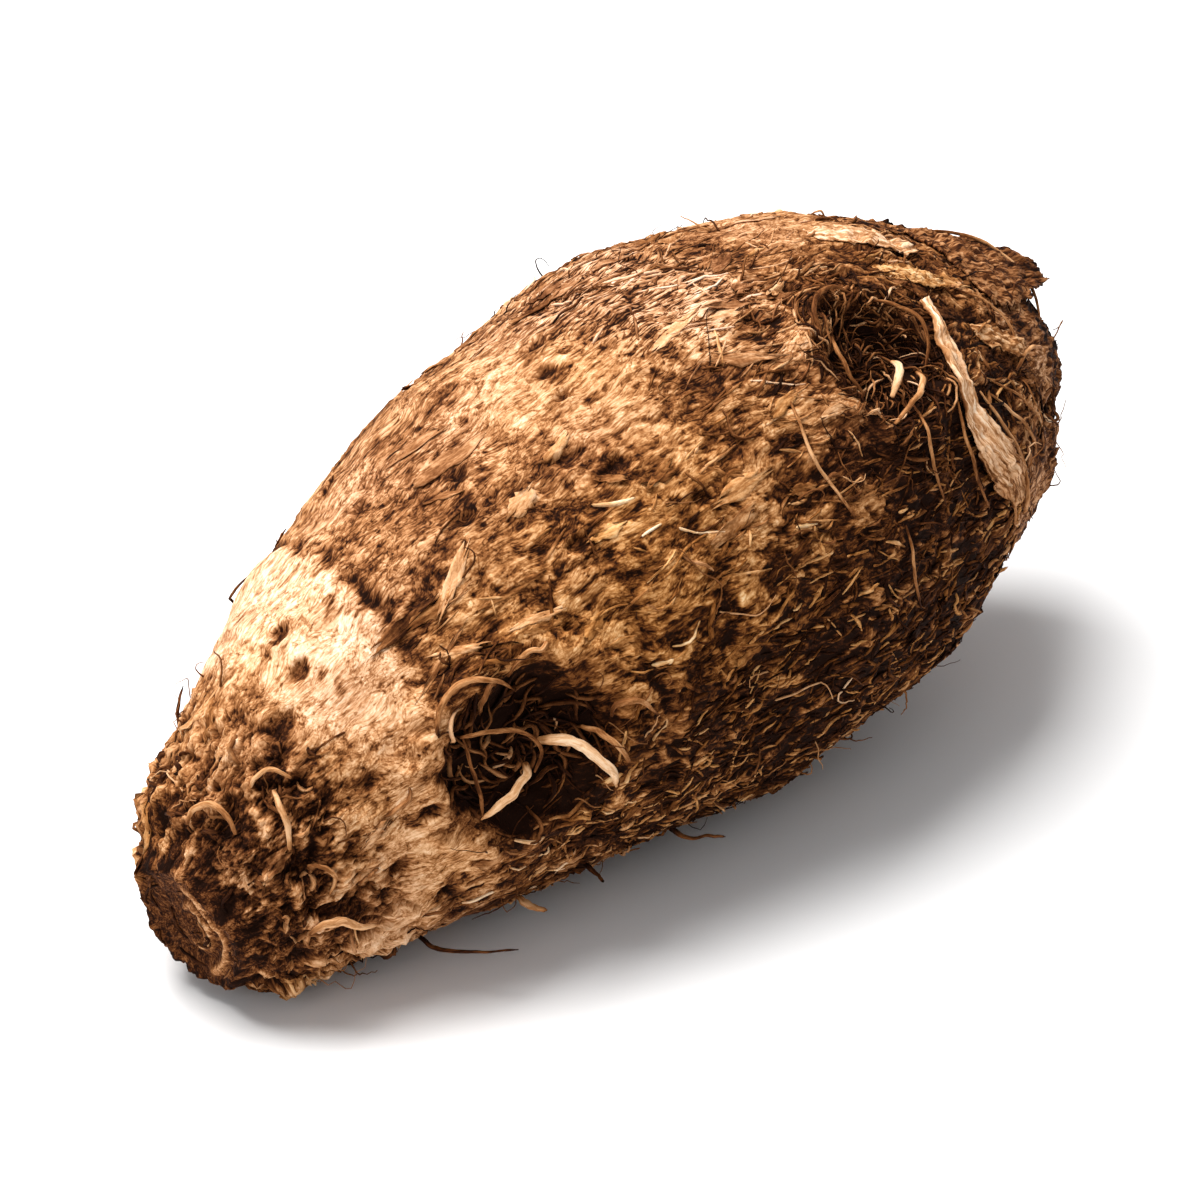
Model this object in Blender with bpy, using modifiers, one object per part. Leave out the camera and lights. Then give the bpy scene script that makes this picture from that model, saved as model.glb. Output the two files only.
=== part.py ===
"""Taro root: one whole corm lying on its side, with its dried leaf sheaths and rootlets.

Metres, +Z up.  The corm's length runs along X: the narrow basal end with the
round scar of the mother corm is at -X, the blunt leafy end at +X.  The corm
rests on the plane z = 0, and the origin is under the middle of its box.
"""
import bpy
import bmesh
import numpy as np
from math import pi, radians, cos, sin, atan, sqrt, exp
from mathutils import Vector

# ---------------------------------------------------------------- dimensions
MM = 0.001
X_BASE = -82.5 * MM          # plane of the basal scar
X_TOP = 84.0 * MM            # end of the leafy end
X_BELLY = 12.0 * MM          # where the corm is fattest
R_BELLY = 38.3 * MM          # radius there
NECK_TAPER = 0.65            # share of the radius lost from belly to scar
NECK_POWER = 1.72            # how the neck tapers
CROWN_POWER = 0.72           # how blunt the leafy end is
R_SCAR = 9.2 * MM            # radius of the basal scar
SCAR_EDGE = 7.0 * MM         # length over which the neck rounds into the scar
SCAR_DISH = 0.9 * MM         # hollow of the scar
SCAR_TILT = radians(14.0)    # the scar's lean from upright

AXIS_HEIGHT = 38.45 * MM     # height of the axis at AXIS_X
AXIS_X = 15.0 * MM
AXIS_RISE = 0.06             # slope of the axis over the leafy half
AXIS_BEND = 2.1              # bend of the axis towards the neck, 1/m

PAD_X = 10.0 * MM            # flattened belly that the corm rests on
PAD_DEPTH = 1.9 * MM
PAD_LENGTH = 20.0 * MM
PAD_ANGLE = radians(32.0)

# dormant eyes: place along X, angle from the top towards -Y, size, depth
EYES = [
    (-42.5 * MM, radians(73.0), 10.0 * MM, 3.4 * MM),
    (28.0 * MM, radians(40.0), 9.0 * MM, 2.6 * MM),
    (-12.0 * MM, radians(-118.0), 9.0 * MM, 2.6 * MM),
]
# leaf-scar rings: place along X, height
RINGS = [
    (-47.0 * MM, 0.7 * MM),
    (-21.0 * MM, 0.4 * MM),
    (9.0 * MM, 0.4 * MM),
    (41.0 * MM, 0.6 * MM),
]
RING_WIDTH = 4.0 * MM
RING_LEAN = 4.0 * MM         # rings sit further forward on top than below
LUMP = 0.55 * MM             # unevenness of the outside

SEGMENTS = 56                # round the corm
ROWS = 46                    # along the corm

GAP = 0.5 * MM               # clearance between the corm and what lies on it
SHEATH_THICKNESS = 0.8 * MM
FLOOR_CLEARANCE = 0.3 * MM


# ------------------------------------------------------------------- surface
def smoothstep(q):
    q = min(max(q, 0.0), 1.0)
    return q * q * (3.0 - 2.0 * q)


def girth(x):
    """Radius of the corm at x, before lumps, rings and eyes."""
    if x < X_BELLY:
        w = min((X_BELLY - x) / (X_BELLY - X_BASE), 1.0)
        r = R_BELLY * (1.0 - NECK_TAPER * w ** NECK_POWER)
        q = min(max((X_BASE + SCAR_EDGE - x) / SCAR_EDGE, 0.0), 1.0)
        return r - (r - R_SCAR) * (1.0 - sqrt(max(1.0 - q * q, 0.0)))
    w = min((x - X_BELLY) / (X_TOP - X_BELLY), 1.0)
    return R_BELLY * (1.0 - w * w) ** CROWN_POWER


def axis_height(x):
    d = max(AXIS_X - x, 0.0)
    return AXIS_HEIGHT + AXIS_RISE * (x - AXIS_X) - AXIS_BEND * d * d


def axis_tilt(x):
    d = max(AXIS_X - x, 0.0)
    bend = atan(AXIS_RISE + 2.0 * AXIS_BEND * d)
    k = smoothstep((x - X_BASE) / (22.0 * MM))
    return SCAR_TILT * (1.0 - k) + bend * k


def meridian():
    """The outline from the scar's middle to the leafy end: length, x, radius."""
    n = 1600
    xs, rs = [X_BASE], [0.0]
    for i in range(n + 1):
        x = 0.5 * (X_BASE + X_TOP) - 0.5 * (X_TOP - X_BASE) * cos(pi * i / n)
        xs.append(x)
        rs.append(girth(x) if i < n else 0.0)
    xs, rs = np.array(xs), np.array(rs)
    s = np.concatenate([[0.0], np.cumsum(np.hypot(np.diff(xs), np.diff(rs)))])
    return s, xs, rs


M_S, M_X, M_R = meridian()


def t_at(x):
    """Share of the outline's length at which the side of the corm reaches x."""
    return float(np.interp(x, M_X[1:], M_S[1:])) / M_S[-1]


def turn(a, b):
    """Signed angle from b to a."""
    return (a - b + pi) % (2.0 * pi) - pi


def relief(x, a, r):
    """Height of the surface over its plain radius."""
    h = PAD_DEPTH * exp(-((x - PAD_X) / PAD_LENGTH) ** 2 - (turn(a, pi) / PAD_ANGLE) ** 2)
    for ring_x, height in RINGS:
        d = x - ring_x - RING_LEAN * cos(a)
        h += height * exp(-(d / RING_WIDTH) ** 2)
    for eye_x, eye_a, size, depth in EYES:
        d = sqrt((x - eye_x) ** 2 + (r * turn(a, eye_a)) ** 2) / size
        h += depth * (0.35 * exp(-((d - 1.25) / 0.35) ** 2) - exp(-d ** 4))
    h += LUMP * sin(a * 3.0 + x / (13.0 * MM)) * cos(x / (9.0 * MM) + 0.7)
    h += 0.6 * LUMP * sin(a * 5.0 - x / (7.0 * MM) + 1.3)
    return h * smoothstep(r / (11.0 * MM))


def surface(t, a):
    """Point of the corm's skin at share t of its outline and angle a from the top."""
    s = min(max(t, 0.0), 1.0) * M_S[-1]
    x = float(np.interp(s, M_S, M_X))
    r = float(np.interp(s, M_S, M_R))
    dish = 0.0
    if s < R_SCAR:
        dish = SCAR_DISH * (1.0 - (s / R_SCAR) ** 2)
    r += relief(x, a, r)
    tilt = axis_tilt(x)
    up = r * cos(a)
    return Vector((x + dish - sin(tilt) * up,
                   -r * sin(a),
                   max(axis_height(x) + cos(tilt) * up, 0.0)))


def normal(t, a):
    """Outward direction of the skin, steadied over a few millimetres."""
    dt, da = 0.012, 0.07
    along = surface(min(t + dt, 1.0), a) - surface(max(t - dt, 0.0), a)
    around = surface(t, a + da) - surface(t, a - da)
    n = along.cross(around).normalized()
    out = Vector((0.0, -sin(a), cos(a)))
    return n if n.dot(out) > 0.0 else -n


def over(x, a, h):
    """Point at height h over the skin."""
    t = t_at(x)
    return surface(t, a) + normal(t, a) * h


# ----------------------------------------------------------------- materials
def material(name, colour, roughness):
    m = bpy.data.materials.new(name)
    m.use_nodes = True
    bsdf = m.node_tree.nodes["Principled BSDF"]
    bsdf.inputs["Base Color"].default_value = (*colour, 1.0)
    bsdf.inputs["Roughness"].default_value = roughness
    bsdf.inputs["Metallic"].default_value = 0.0
    m.diffuse_color = (*colour, 1.0)
    return m


# -------------------------------------------------------------------- pieces
def clear():
    for ob in list(bpy.data.objects):
        bpy.data.objects.remove(ob, do_unlink=True)


def make_corm(coll, mat):
    bm = bmesh.new()
    bmesh.ops.create_uvsphere(bm, u_segments=SEGMENTS, v_segments=ROWS, radius=1.0)
    for v in bm.verts:
        polar = np.arccos(min(max(v.co.z, -1.0), 1.0))
        a = float(np.arctan2(v.co.y, v.co.x))
        v.co = surface(float(polar) / pi, a)
    bmesh.ops.triangulate(bm, faces=bm.faces[:])
    bmesh.ops.recalc_face_normals(bm, faces=bm.faces[:])
    me = bpy.data.meshes.new("corm")
    bm.to_mesh(me)
    bm.free()
    me.shade_smooth()
    me.materials.append(mat)
    ob = bpy.data.objects.new("corm", me)
    coll.objects.link(ob)
    return ob


def make_sheath(coll, name, mat, centre, half_width, span, lift, cols=6, rows=14):
    """A dried leaf base: a strip whose middle line is centre(q), q from 0 to 1.

    centre gives (x, angle); half_width(q) is across the strip; lift(q) is its
    height over the skin.  span is "round" for a strip that runs round the corm
    and "along" for one that runs along it.
    """
    bm = bmesh.new()
    bmesh.ops.create_grid(bm, x_segments=rows, y_segments=cols, size=1.0)
    for v in bm.verts:
        q, w = 0.5 * (v.co.x + 1.0), v.co.y
        x, a = centre(q)
        hw = half_width(q) * w
        if span == "round":
            v.co = over(x + hw, a, lift(q) + GAP)
        else:
            v.co = over(x, a + hw / max(girth(x), 12.0 * MM), lift(q) + GAP)
    bmesh.ops.recalc_face_normals(bm, faces=bm.faces[:])
    # faces point away from the corm, so that the thickness grows outward
    mid = sum((f.calc_center_median() for f in bm.faces), Vector()) / len(bm.faces)
    out = sum((f.normal for f in bm.faces), Vector())
    core = Vector((mid.x, 0.0, axis_height(mid.x)))
    if out.dot(mid - core) < 0.0:
        bmesh.ops.reverse_faces(bm, faces=bm.faces[:])
    me = bpy.data.meshes.new(name)
    bm.to_mesh(me)
    bm.free()
    me.shade_smooth()
    me.materials.append(mat)
    ob = bpy.data.objects.new(name, me)
    coll.objects.link(ob)
    solid = ob.modifiers.new("thickness", "SOLIDIFY")
    solid.thickness = SHEATH_THICKNESS
    solid.offset = 1.0
    solid.use_even_offset = False
    return ob


def smooth_path(points, n):
    """n points on a smooth curve through the given points."""
    p = [Vector(q) for q in points]
    p = [2.0 * p[0] - p[1]] + p + [2.0 * p[-1] - p[-2]]
    spans = len(p) - 3
    out = []
    for i in range(n):
        u = spans * i / (n - 1)
        k = min(int(u), spans - 1)
        f = u - k
        a, b, c, d = p[k:k + 4]
        out.append(0.5 * (2.0 * b + (c - a) * f + (2.0 * a - 5.0 * b + 4.0 * c - d) * f * f
                          + (3.0 * b - a - 3.0 * c + d) * f ** 3))
    return out


def make_rootlet(coll, name, mat, points, radius, taper=0.55, n=11):
    """A wiry rootlet through points, thinner at its free end, clear of the floor."""
    cu = bpy.data.curves.new(name, "CURVE")
    cu.dimensions = "3D"
    cu.bevel_depth = radius
    cu.bevel_resolution = 2
    cu.use_fill_caps = True
    sp = cu.splines.new("POLY")
    path = smooth_path(points, n)
    sp.points.add(len(path) - 1)
    for i, q in enumerate(path):
        k = 1.0 - (1.0 - taper) * i / (len(path) - 1)
        z = max(q.z, radius * k + FLOOR_CLEARANCE)
        sp.points[i].co = (q.x, q.y, z, 1.0)
        sp.points[i].radius = k
    cu.materials.append(mat)
    ob = bpy.data.objects.new(name, cu)
    coll.objects.link(ob)
    return ob


def main():
    clear()
    coll = bpy.data.collections.new("taro_root")
    bpy.context.scene.collection.children.link(coll)

    skin = material("bark_skin", (0.36, 0.20, 0.09), 0.85)
    sheath = material("dry_leaf_sheath", (0.50, 0.29, 0.15), 0.8)
    dark_root = material("dark_rootlet", (0.10, 0.055, 0.03), 0.8)
    pale_root = material("pale_rootlet", (0.66, 0.50, 0.32), 0.75)

    make_corm(coll, skin)

    # dried leaf bases left on the rings of the leafy end
    make_sheath(coll, "leaf_sheath_front", sheath,
                lambda q: ((43.5 - 5.5 * sin(pi * min(q * 1.1, 1.0))) * MM, radians(33.0 + 53.0 * q)),
                lambda q: (1.5 + 3.6 * smoothstep((q - 0.3) / 0.7)) * MM,
                "round", lambda q: 0.5 * MM * sin(pi * q))
    make_sheath(coll, "leaf_sheath_back", sheath,
                lambda q: ((49.0 - 4.0 * sin(pi * q)) * MM, radians(-38.0 - 62.0 * q)),
                lambda q: (1.6 + 3.2 * sin(pi * min(q * 1.2, 1.0))) * MM,
                "round", lambda q: 0.5 * MM * sin(pi * q))
    # the last sheath over the growing tip
    make_sheath(coll, "leaf_sheath_tip", sheath,
                lambda q: ((60.0 + 19.0 * q) * MM, radians(16.0 + 4.0 * q)),
                lambda q: (11.0 - 9.4 * q ** 1.4) * MM,
                "along", lambda q: (0.3 + 4.2 * q * q) * MM, rows=10)

    # rootlets: place along X in mm, angle from the top in degrees, height in mm
    def skin_path(*stops):
        return [over(x * MM, radians(a), h * MM) for x, a, h in stops]

    make_rootlet(coll, "rootlet_eye_hook", pale_root,
                 skin_path((-42.0, 70.0, 2.2), (-38.5, 74.0, 3.6), (-35.3, 81.0, 4.0),
                           (-33.3, 91.0, 3.2), (-32.8, 100.0, 1.5)), 0.65 * MM)
    make_rootlet(coll, "rootlet_eye_fork", pale_root,
                 skin_path((-44.8, 76.0, 1.7), (-46.6, 79.0, 3.0), (-49.0, 83.0, 2.9),
                           (-52.0, 88.0, 1.6)), 0.5 * MM)
    make_rootlet(coll, "rootlet_eye_arch", dark_root,
                 skin_path((-50.5, 54.0, 1.5), (-49.0, 47.0, 2.4), (-44.5, 44.5, 2.8),
                           (-41.0, 50.0, 2.4), (-39.5, 59.0, 1.6)), 0.45 * MM)
    make_rootlet(coll, "rootlet_neck", pale_root,
                 skin_path((-72.5, 96.0, 1.4), (-71.5, 88.0, 2.2), (-68.5, 86.0, 2.3),
                           (-66.0, 92.0, 1.4)), 0.55 * MM)
    make_rootlet(coll, "rootlet_low_1", dark_root,
                 skin_path((-62.0, 131.0, 1.1), (-61.0, 127.0, 3.2), (-57.5, 122.0, 6.4),
                           (-53.0, 119.0, 9.2)), 0.4 * MM)
    make_rootlet(coll, "rootlet_low_2", pale_root,
                 skin_path((-47.5, 132.0, 1.1), (-47.0, 131.0, 2.6), (-45.5, 130.0, 4.4)), 0.6 * MM, n=7)
    make_rootlet(coll, "rootlet_low_3", dark_root,
                 skin_path((-36.0, 133.0, 1.1), (-35.6, 131.0, 2.6), (-35.8, 129.0, 4.2)), 0.45 * MM, n=7)
    make_rootlet(coll, "rootlet_low_4", dark_root,
                 skin_path((-21.0, 134.0, 1.1), (-20.0, 132.0, 2.8), (-17.0, 130.0, 4.2),
                           (-14.5, 131.0, 5.0)), 0.45 * MM, n=9)
    make_rootlet(coll, "rootlet_back_1", dark_root,
                 skin_path((-60.0, -96.0, 1.1), (-59.5, -93.0, 3.2), (-57.0, -88.0, 5.0),
                           (-53.5, -85.0, 5.6)), 0.4 * MM, n=9)
    make_rootlet(coll, "rootlet_back_2", pale_root,
                 skin_path((-16.0, -119.0, 1.8), (-13.0, -115.0, 3.2), (-9.0, -115.0, 3.2),
                           (-6.0, -121.0, 1.8)), 0.55 * MM, n=9)
    make_rootlet(coll, "rootlet_back_3", dark_root,
                 skin_path((22.0, -112.0, 1.1), (22.5, -109.0, 3.0), (25.0, -105.0, 4.6),
                           (29.0, -103.0, 4.8)), 0.45 * MM, n=9)

    stand_on_origin(coll)


def stand_on_origin(coll):
    """Put the middle of the whole object's box over the origin."""
    bpy.context.view_layer.update()
    deps = bpy.context.evaluated_depsgraph_get()
    low, high = Vector((1e9,) * 3), Vector((-1e9,) * 3)
    for ob in coll.objects:
        me = ob.evaluated_get(deps).to_mesh()
        for v in me.vertices:
            co = ob.matrix_world @ v.co
            low = Vector(map(min, low, co))
            high = Vector(map(max, high, co))
        ob.evaluated_get(deps).to_mesh_clear()
    for ob in coll.objects:
        ob.location = (-0.5 * (low.x + high.x), -0.5 * (low.y + high.y), -low.z)
    bpy.context.view_layer.update()


main()
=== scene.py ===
"""Looks of the taro corm: bark, fibres, pits, rings, eyes, sheaths and rootlets."""

import math
import numpy as np
import bpy
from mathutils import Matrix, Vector


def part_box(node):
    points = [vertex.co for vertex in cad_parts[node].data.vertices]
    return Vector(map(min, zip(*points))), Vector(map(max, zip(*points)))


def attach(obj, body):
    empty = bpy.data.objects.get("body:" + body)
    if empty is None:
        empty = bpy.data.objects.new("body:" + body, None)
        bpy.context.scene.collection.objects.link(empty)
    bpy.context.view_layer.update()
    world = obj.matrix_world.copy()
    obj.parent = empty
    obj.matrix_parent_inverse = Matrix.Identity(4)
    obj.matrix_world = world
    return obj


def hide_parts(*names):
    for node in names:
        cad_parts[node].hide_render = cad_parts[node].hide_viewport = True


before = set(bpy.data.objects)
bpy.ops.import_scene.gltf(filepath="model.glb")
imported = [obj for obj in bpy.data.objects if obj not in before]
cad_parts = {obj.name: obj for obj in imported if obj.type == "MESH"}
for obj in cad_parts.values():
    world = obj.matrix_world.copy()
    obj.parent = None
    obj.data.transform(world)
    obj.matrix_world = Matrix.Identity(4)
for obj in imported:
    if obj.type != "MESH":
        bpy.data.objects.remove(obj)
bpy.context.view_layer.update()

# ============================================================ the corm's form
# Millimetres here, in the corm's own frame; SHIFT brings it to the row frame.
X_BASE, X_TOP, X_BELLY = -82.5, 84.0, 12.0
R_BELLY, NECK_TAPER, NECK_POWER, CROWN_POWER = 38.3, 0.65, 1.72, 0.72
R_SCAR, SCAR_EDGE, SCAR_DISH, SCAR_TILT = 9.2, 7.0, 0.9, math.radians(14.0)
AXIS_HEIGHT, AXIS_X, AXIS_RISE, AXIS_BEND = 38.45, 15.0, 0.06, 0.0021
PAD_X, PAD_DEPTH, PAD_LENGTH, PAD_ANGLE = 10.0, 1.9, 20.0, math.radians(32.0)
EYES = [(-42.5, math.radians(73.0), 10.0, 3.4),
        (28.0, math.radians(40.0), 9.0, 2.6),
        (-12.0, math.radians(-118.0), 9.0, 2.6)]
RINGS = [(-47.0, 0.7), (-21.0, 0.4), (9.0, 0.4), (41.0, 0.6)]
RING_WIDTH, RING_LEAN, LUMP = 4.0, 4.0, 0.55
PI = math.pi


def sstep(q, lo=0.0, hi=1.0):
    q = np.clip((q - lo) / (hi - lo), 0.0, 1.0)
    return q * q * (3.0 - 2.0 * q)


def turn(a, b):
    return (a - b + PI) % (2.0 * PI) - PI


def girth(x):
    w = np.clip((X_BELLY - x) / (X_BELLY - X_BASE), 0.0, 1.0)
    r = R_BELLY * (1.0 - NECK_TAPER * w ** NECK_POWER)
    q = np.clip((X_BASE + SCAR_EDGE - x) / SCAR_EDGE, 0.0, 1.0)
    r = r - (r - R_SCAR) * (1.0 - np.sqrt(np.maximum(1.0 - q * q, 0.0)))
    v = np.clip((x - X_BELLY) / (X_TOP - X_BELLY), 0.0, 1.0)
    return np.where(x < X_BELLY, r, R_BELLY * (1.0 - v * v) ** CROWN_POWER)


def axis_height(x):
    d = np.maximum(AXIS_X - x, 0.0)
    return AXIS_HEIGHT + AXIS_RISE * (x - AXIS_X) - AXIS_BEND * d * d


def axis_tilt(x):
    d = np.maximum(AXIS_X - x, 0.0)
    bend = np.arctan(AXIS_RISE + 2.0 * AXIS_BEND * d)
    k = sstep((x - X_BASE) / 22.0)
    return SCAR_TILT * (1.0 - k) + bend * k


_n = 1600
_x = 0.5 * (X_BASE + X_TOP) - 0.5 * (X_TOP - X_BASE) * np.cos(PI * np.arange(_n + 1) / _n)
_r = girth(_x)
_r[-1] = 0.0
M_X, M_R = np.concatenate([[X_BASE], _x]), np.concatenate([[0.0], _r])
M_S = np.concatenate([[0.0], np.cumsum(np.hypot(np.diff(M_X), np.diff(M_R)))])
M_LEN = float(M_S[-1])


def s_at(x):
    """Length along the outline at which the side of the corm reaches x."""
    return np.interp(x, M_X[1:], M_S[1:])


def cad_relief(x, a, r):
    h = PAD_DEPTH * np.exp(-((x - PAD_X) / PAD_LENGTH) ** 2 - (turn(a, PI) / PAD_ANGLE) ** 2)
    for ring_x, height in RINGS:
        d = x - ring_x - RING_LEAN * np.cos(a)
        h = h + height * np.exp(-(d / RING_WIDTH) ** 2)
    for eye_x, eye_a, size, depth in EYES:
        d = np.sqrt((x - eye_x) ** 2 + (r * turn(a, eye_a)) ** 2) / size
        h = h + depth * (0.35 * np.exp(-((d - 1.25) / 0.35) ** 2) - np.exp(-d ** 4))
    h = h + LUMP * np.sin(a * 3.0 + x / 13.0) * np.cos(x / 9.0 + 0.7)
    h = h + 0.6 * LUMP * np.sin(a * 5.0 - x / 7.0 + 1.3)
    return h * sstep(r / 11.0)


def form(s, a):
    """The corm's plain form, as in the CAD solid, at length s along its outline and angle a."""
    s = np.clip(s, 0.0, M_LEN)
    x, r = np.interp(s, M_S, M_X), np.interp(s, M_S, M_R)
    dish = np.where(s < R_SCAR, SCAR_DISH * (1.0 - (s / R_SCAR) ** 2), 0.0)
    r = r + cad_relief(x, a, r)
    tilt, up = axis_tilt(x), r * np.cos(a)
    return np.stack([x + dish - np.sin(tilt) * up, -r * np.sin(a),
                     axis_height(x) + np.cos(tilt) * up], -1)


def form_normal(s, a):
    ds, da = 0.7, 0.02
    along = form(np.minimum(s + ds, M_LEN), a) - form(np.maximum(s - ds, 0.0), a)
    around = form(s, a + da) - form(s, a - da)
    n = np.cross(around, along)
    n = n / (np.linalg.norm(n, axis=-1, keepdims=True) + 1e-9)
    # at the two poles the angle means nothing, so the direction is the axis
    tilt = axis_tilt(np.interp(s, M_S, M_X))
    ax = np.stack([np.cos(tilt), 0.0 * tilt, np.sin(tilt)], -1)
    k0 = (1.0 - sstep(s, 0.3, 1.5))[..., None]
    k1 = sstep(s, M_LEN - 1.5, M_LEN - 0.3)[..., None]
    n = n * (1.0 - k0) * (1.0 - k1) - ax * k0 + ax * k1
    return n / (np.linalg.norm(n, axis=-1, keepdims=True) + 1e-9)


# -------------------------------------------------------------------- noise
def _hash(ix, iy, iz, seed):
    h = (ix.astype(np.uint32) * np.uint32(374761393) + iy.astype(np.uint32) * np.uint32(668265263)
         + iz.astype(np.uint32) * np.uint32(2246822519) + np.uint32((seed * 3266489917) & 0xFFFFFFFF))
    h = (h ^ (h >> np.uint32(13))) * np.uint32(1274126177)
    h = (h ^ (h >> np.uint32(16))) * np.uint32(2654435761)
    return h ^ (h >> np.uint32(15))


def noise(p, seed=0):
    """Smooth gradient noise, about -1 to 1."""
    with np.errstate(over="ignore"):
        i = np.floor(p).astype(np.int64)
        f = p - i
        u = f * f * f * (f * (f * 6.0 - 15.0) + 10.0)
        out = np.zeros(p.shape[:-1])
        for dx in (0, 1):
            wx = u[..., 0] if dx else 1.0 - u[..., 0]
            for dy in (0, 1):
                wy = u[..., 1] if dy else 1.0 - u[..., 1]
                for dz in (0, 1):
                    wz = u[..., 2] if dz else 1.0 - u[..., 2]
                    h = _hash(i[..., 0] + dx, i[..., 1] + dy, i[..., 2] + dz, seed)
                    gx = (h & np.uint32(1023)).astype(float) / 511.5 - 1.0
                    gy = ((h >> np.uint32(10)) & np.uint32(1023)).astype(float) / 511.5 - 1.0
                    gz = ((h >> np.uint32(20)) & np.uint32(1023)).astype(float) / 511.5 - 1.0
                    out = out + wx * wy * wz * (gx * (f[..., 0] - dx) + gy * (f[..., 1] - dy) + gz * (f[..., 2] - dz))
        return out * 1.6


def fbm(p, octaves=3, seed=0, gain=0.5):
    total, amp, out = 0.0, 1.0, 0.0
    for k in range(octaves):
        out = out + amp * noise(p * (2.03 ** k) + 17.3 * k, seed + k)
        total += amp
        amp *= gain
    return out / total


def cells(p, seed=0):
    """Cellular pattern: how near a cell's border is (0 on it, to 1), and two random numbers of the cell."""
    with np.errstate(over="ignore"):
        i = np.floor(p).astype(np.int64)
        f = p - i
        near = np.full(p.shape[:-1], 9.0)
        second = near.copy()
        one, two = np.zeros_like(near), np.zeros_like(near)
        for dx in (-1, 0, 1):
            for dy in (-1, 0, 1):
                for dz in (-1, 0, 1):
                    h = _hash(i[..., 0] + dx, i[..., 1] + dy, i[..., 2] + dz, seed)
                    jx = (h & np.uint32(1023)).astype(float) / 1023.0
                    jy = ((h >> np.uint32(10)) & np.uint32(1023)).astype(float) / 1023.0
                    jz = ((h >> np.uint32(20)) & np.uint32(1023)).astype(float) / 1023.0
                    d = (dx + jx - f[..., 0]) ** 2 + (dy + jy - f[..., 1]) ** 2 + (dz + jz - f[..., 2]) ** 2
                    closer = d < near
                    second = np.where(closer, near, np.minimum(second, d))
                    one = np.where(closer, (jx * 7.3 + jy * 3.1) % 1.0, one)
                    two = np.where(closer, (jz * 5.7 + jx * 2.9) % 1.0, two)
                    near = np.where(closer, d, near)
    return np.clip(np.sqrt(second) - np.sqrt(near), 0.0, 1.0), one, two


def straight(s, a):
    """Coordinates of the corm laid out straight: length, and place in its section."""
    s = np.clip(s, 0.0, M_LEN)
    r = np.interp(s, M_S, M_R)
    return np.stack([s + 0.0 * a, r * np.cos(a), r * np.sin(a)], -1)


# ----------------------------------------------------------------- features
D2R = math.radians
# root pits: x, angle, radius, and 1 where the root's stump fills it
PITS = [(-54.0, -6, 1.2, 0), (-56.2, 7.5, 1.35, 0), (-62.6, 15, 1.9, 0), (-68.0, 22.5, 2.4, 0), (-66.5, 33, 1.7, 0),
        (-17.7, 21.5, 1.7, 1), (-13.8, 30, 1.6, 1), (-6.4, -8.5, 1.35, 0), (-9.3, 0.5, 1.3, 1), (-11.0, 8, 1.0, 1),
        (-27.0, 5, 1.0, 0), (-31.0, 16, 1.1, 0), (-24.0, 38, 1.2, 1), (-36.0, -14, 1.0, 0),
        (-8.0, 46, 1.2, 1), (-57.0, 70, 1.1, 0), (-63.0, 84, 1.2, 0), (-60.0, 50, 1.2, 0), (-59.0, 104, 1.1, 0),
        (14.0, 20, 1.1, 0), (44.0, 8, 1.2, 0), (-72.0, 58, 2.2, 0), (-74.5, 18, 1.8, 0), (-70.0, 92, 2.0, 0)]
_rng = np.random.default_rng(11)
for _k in range(46):                       # the rest, thinly over the whole corm
    _px, _pa = _rng.uniform(-74.0, 58.0), _rng.uniform(-180.0, 180.0)
    if all(math.hypot(_px - q[0], (_pa - q[1]) * 0.5) > 8.0 for q in PITS):
        PITS.append((_px, _pa, _rng.uniform(0.6, 1.3), int(_rng.random() < 0.45)))
PITS = np.array(PITS, float)
PITS[:, 1] = np.radians(PITS[:, 1])

RING_X = [-73.0, -67.5, -58.5, -36.0, -24.5, -12.0, 1.0, 14.0, 27.0, 39.0, 50.0, 59.0, 67.0]


def ring_shift(k, a):
    """How far ring k wanders from its plane, in mm, by angle."""
    return (2.2 * np.cos(a) + 1.4 * np.sin(2.0 * a + 1.7 * k) + 0.8 * np.sin(5.0 * a + 2.9 * k)
            + 0.45 * np.sin(11.0 * a + 4.1 * k))


def blob(x, a, x0, a0, sx, sa, p=2.0):
    """A soft patch round (x0, a0 degrees), sx mm by sa degrees."""
    d = np.sqrt(((x - x0) / sx) ** 2 + (turn(a, D2R(a0)) / D2R(sa)) ** 2)
    return np.exp(-d ** p)


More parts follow.
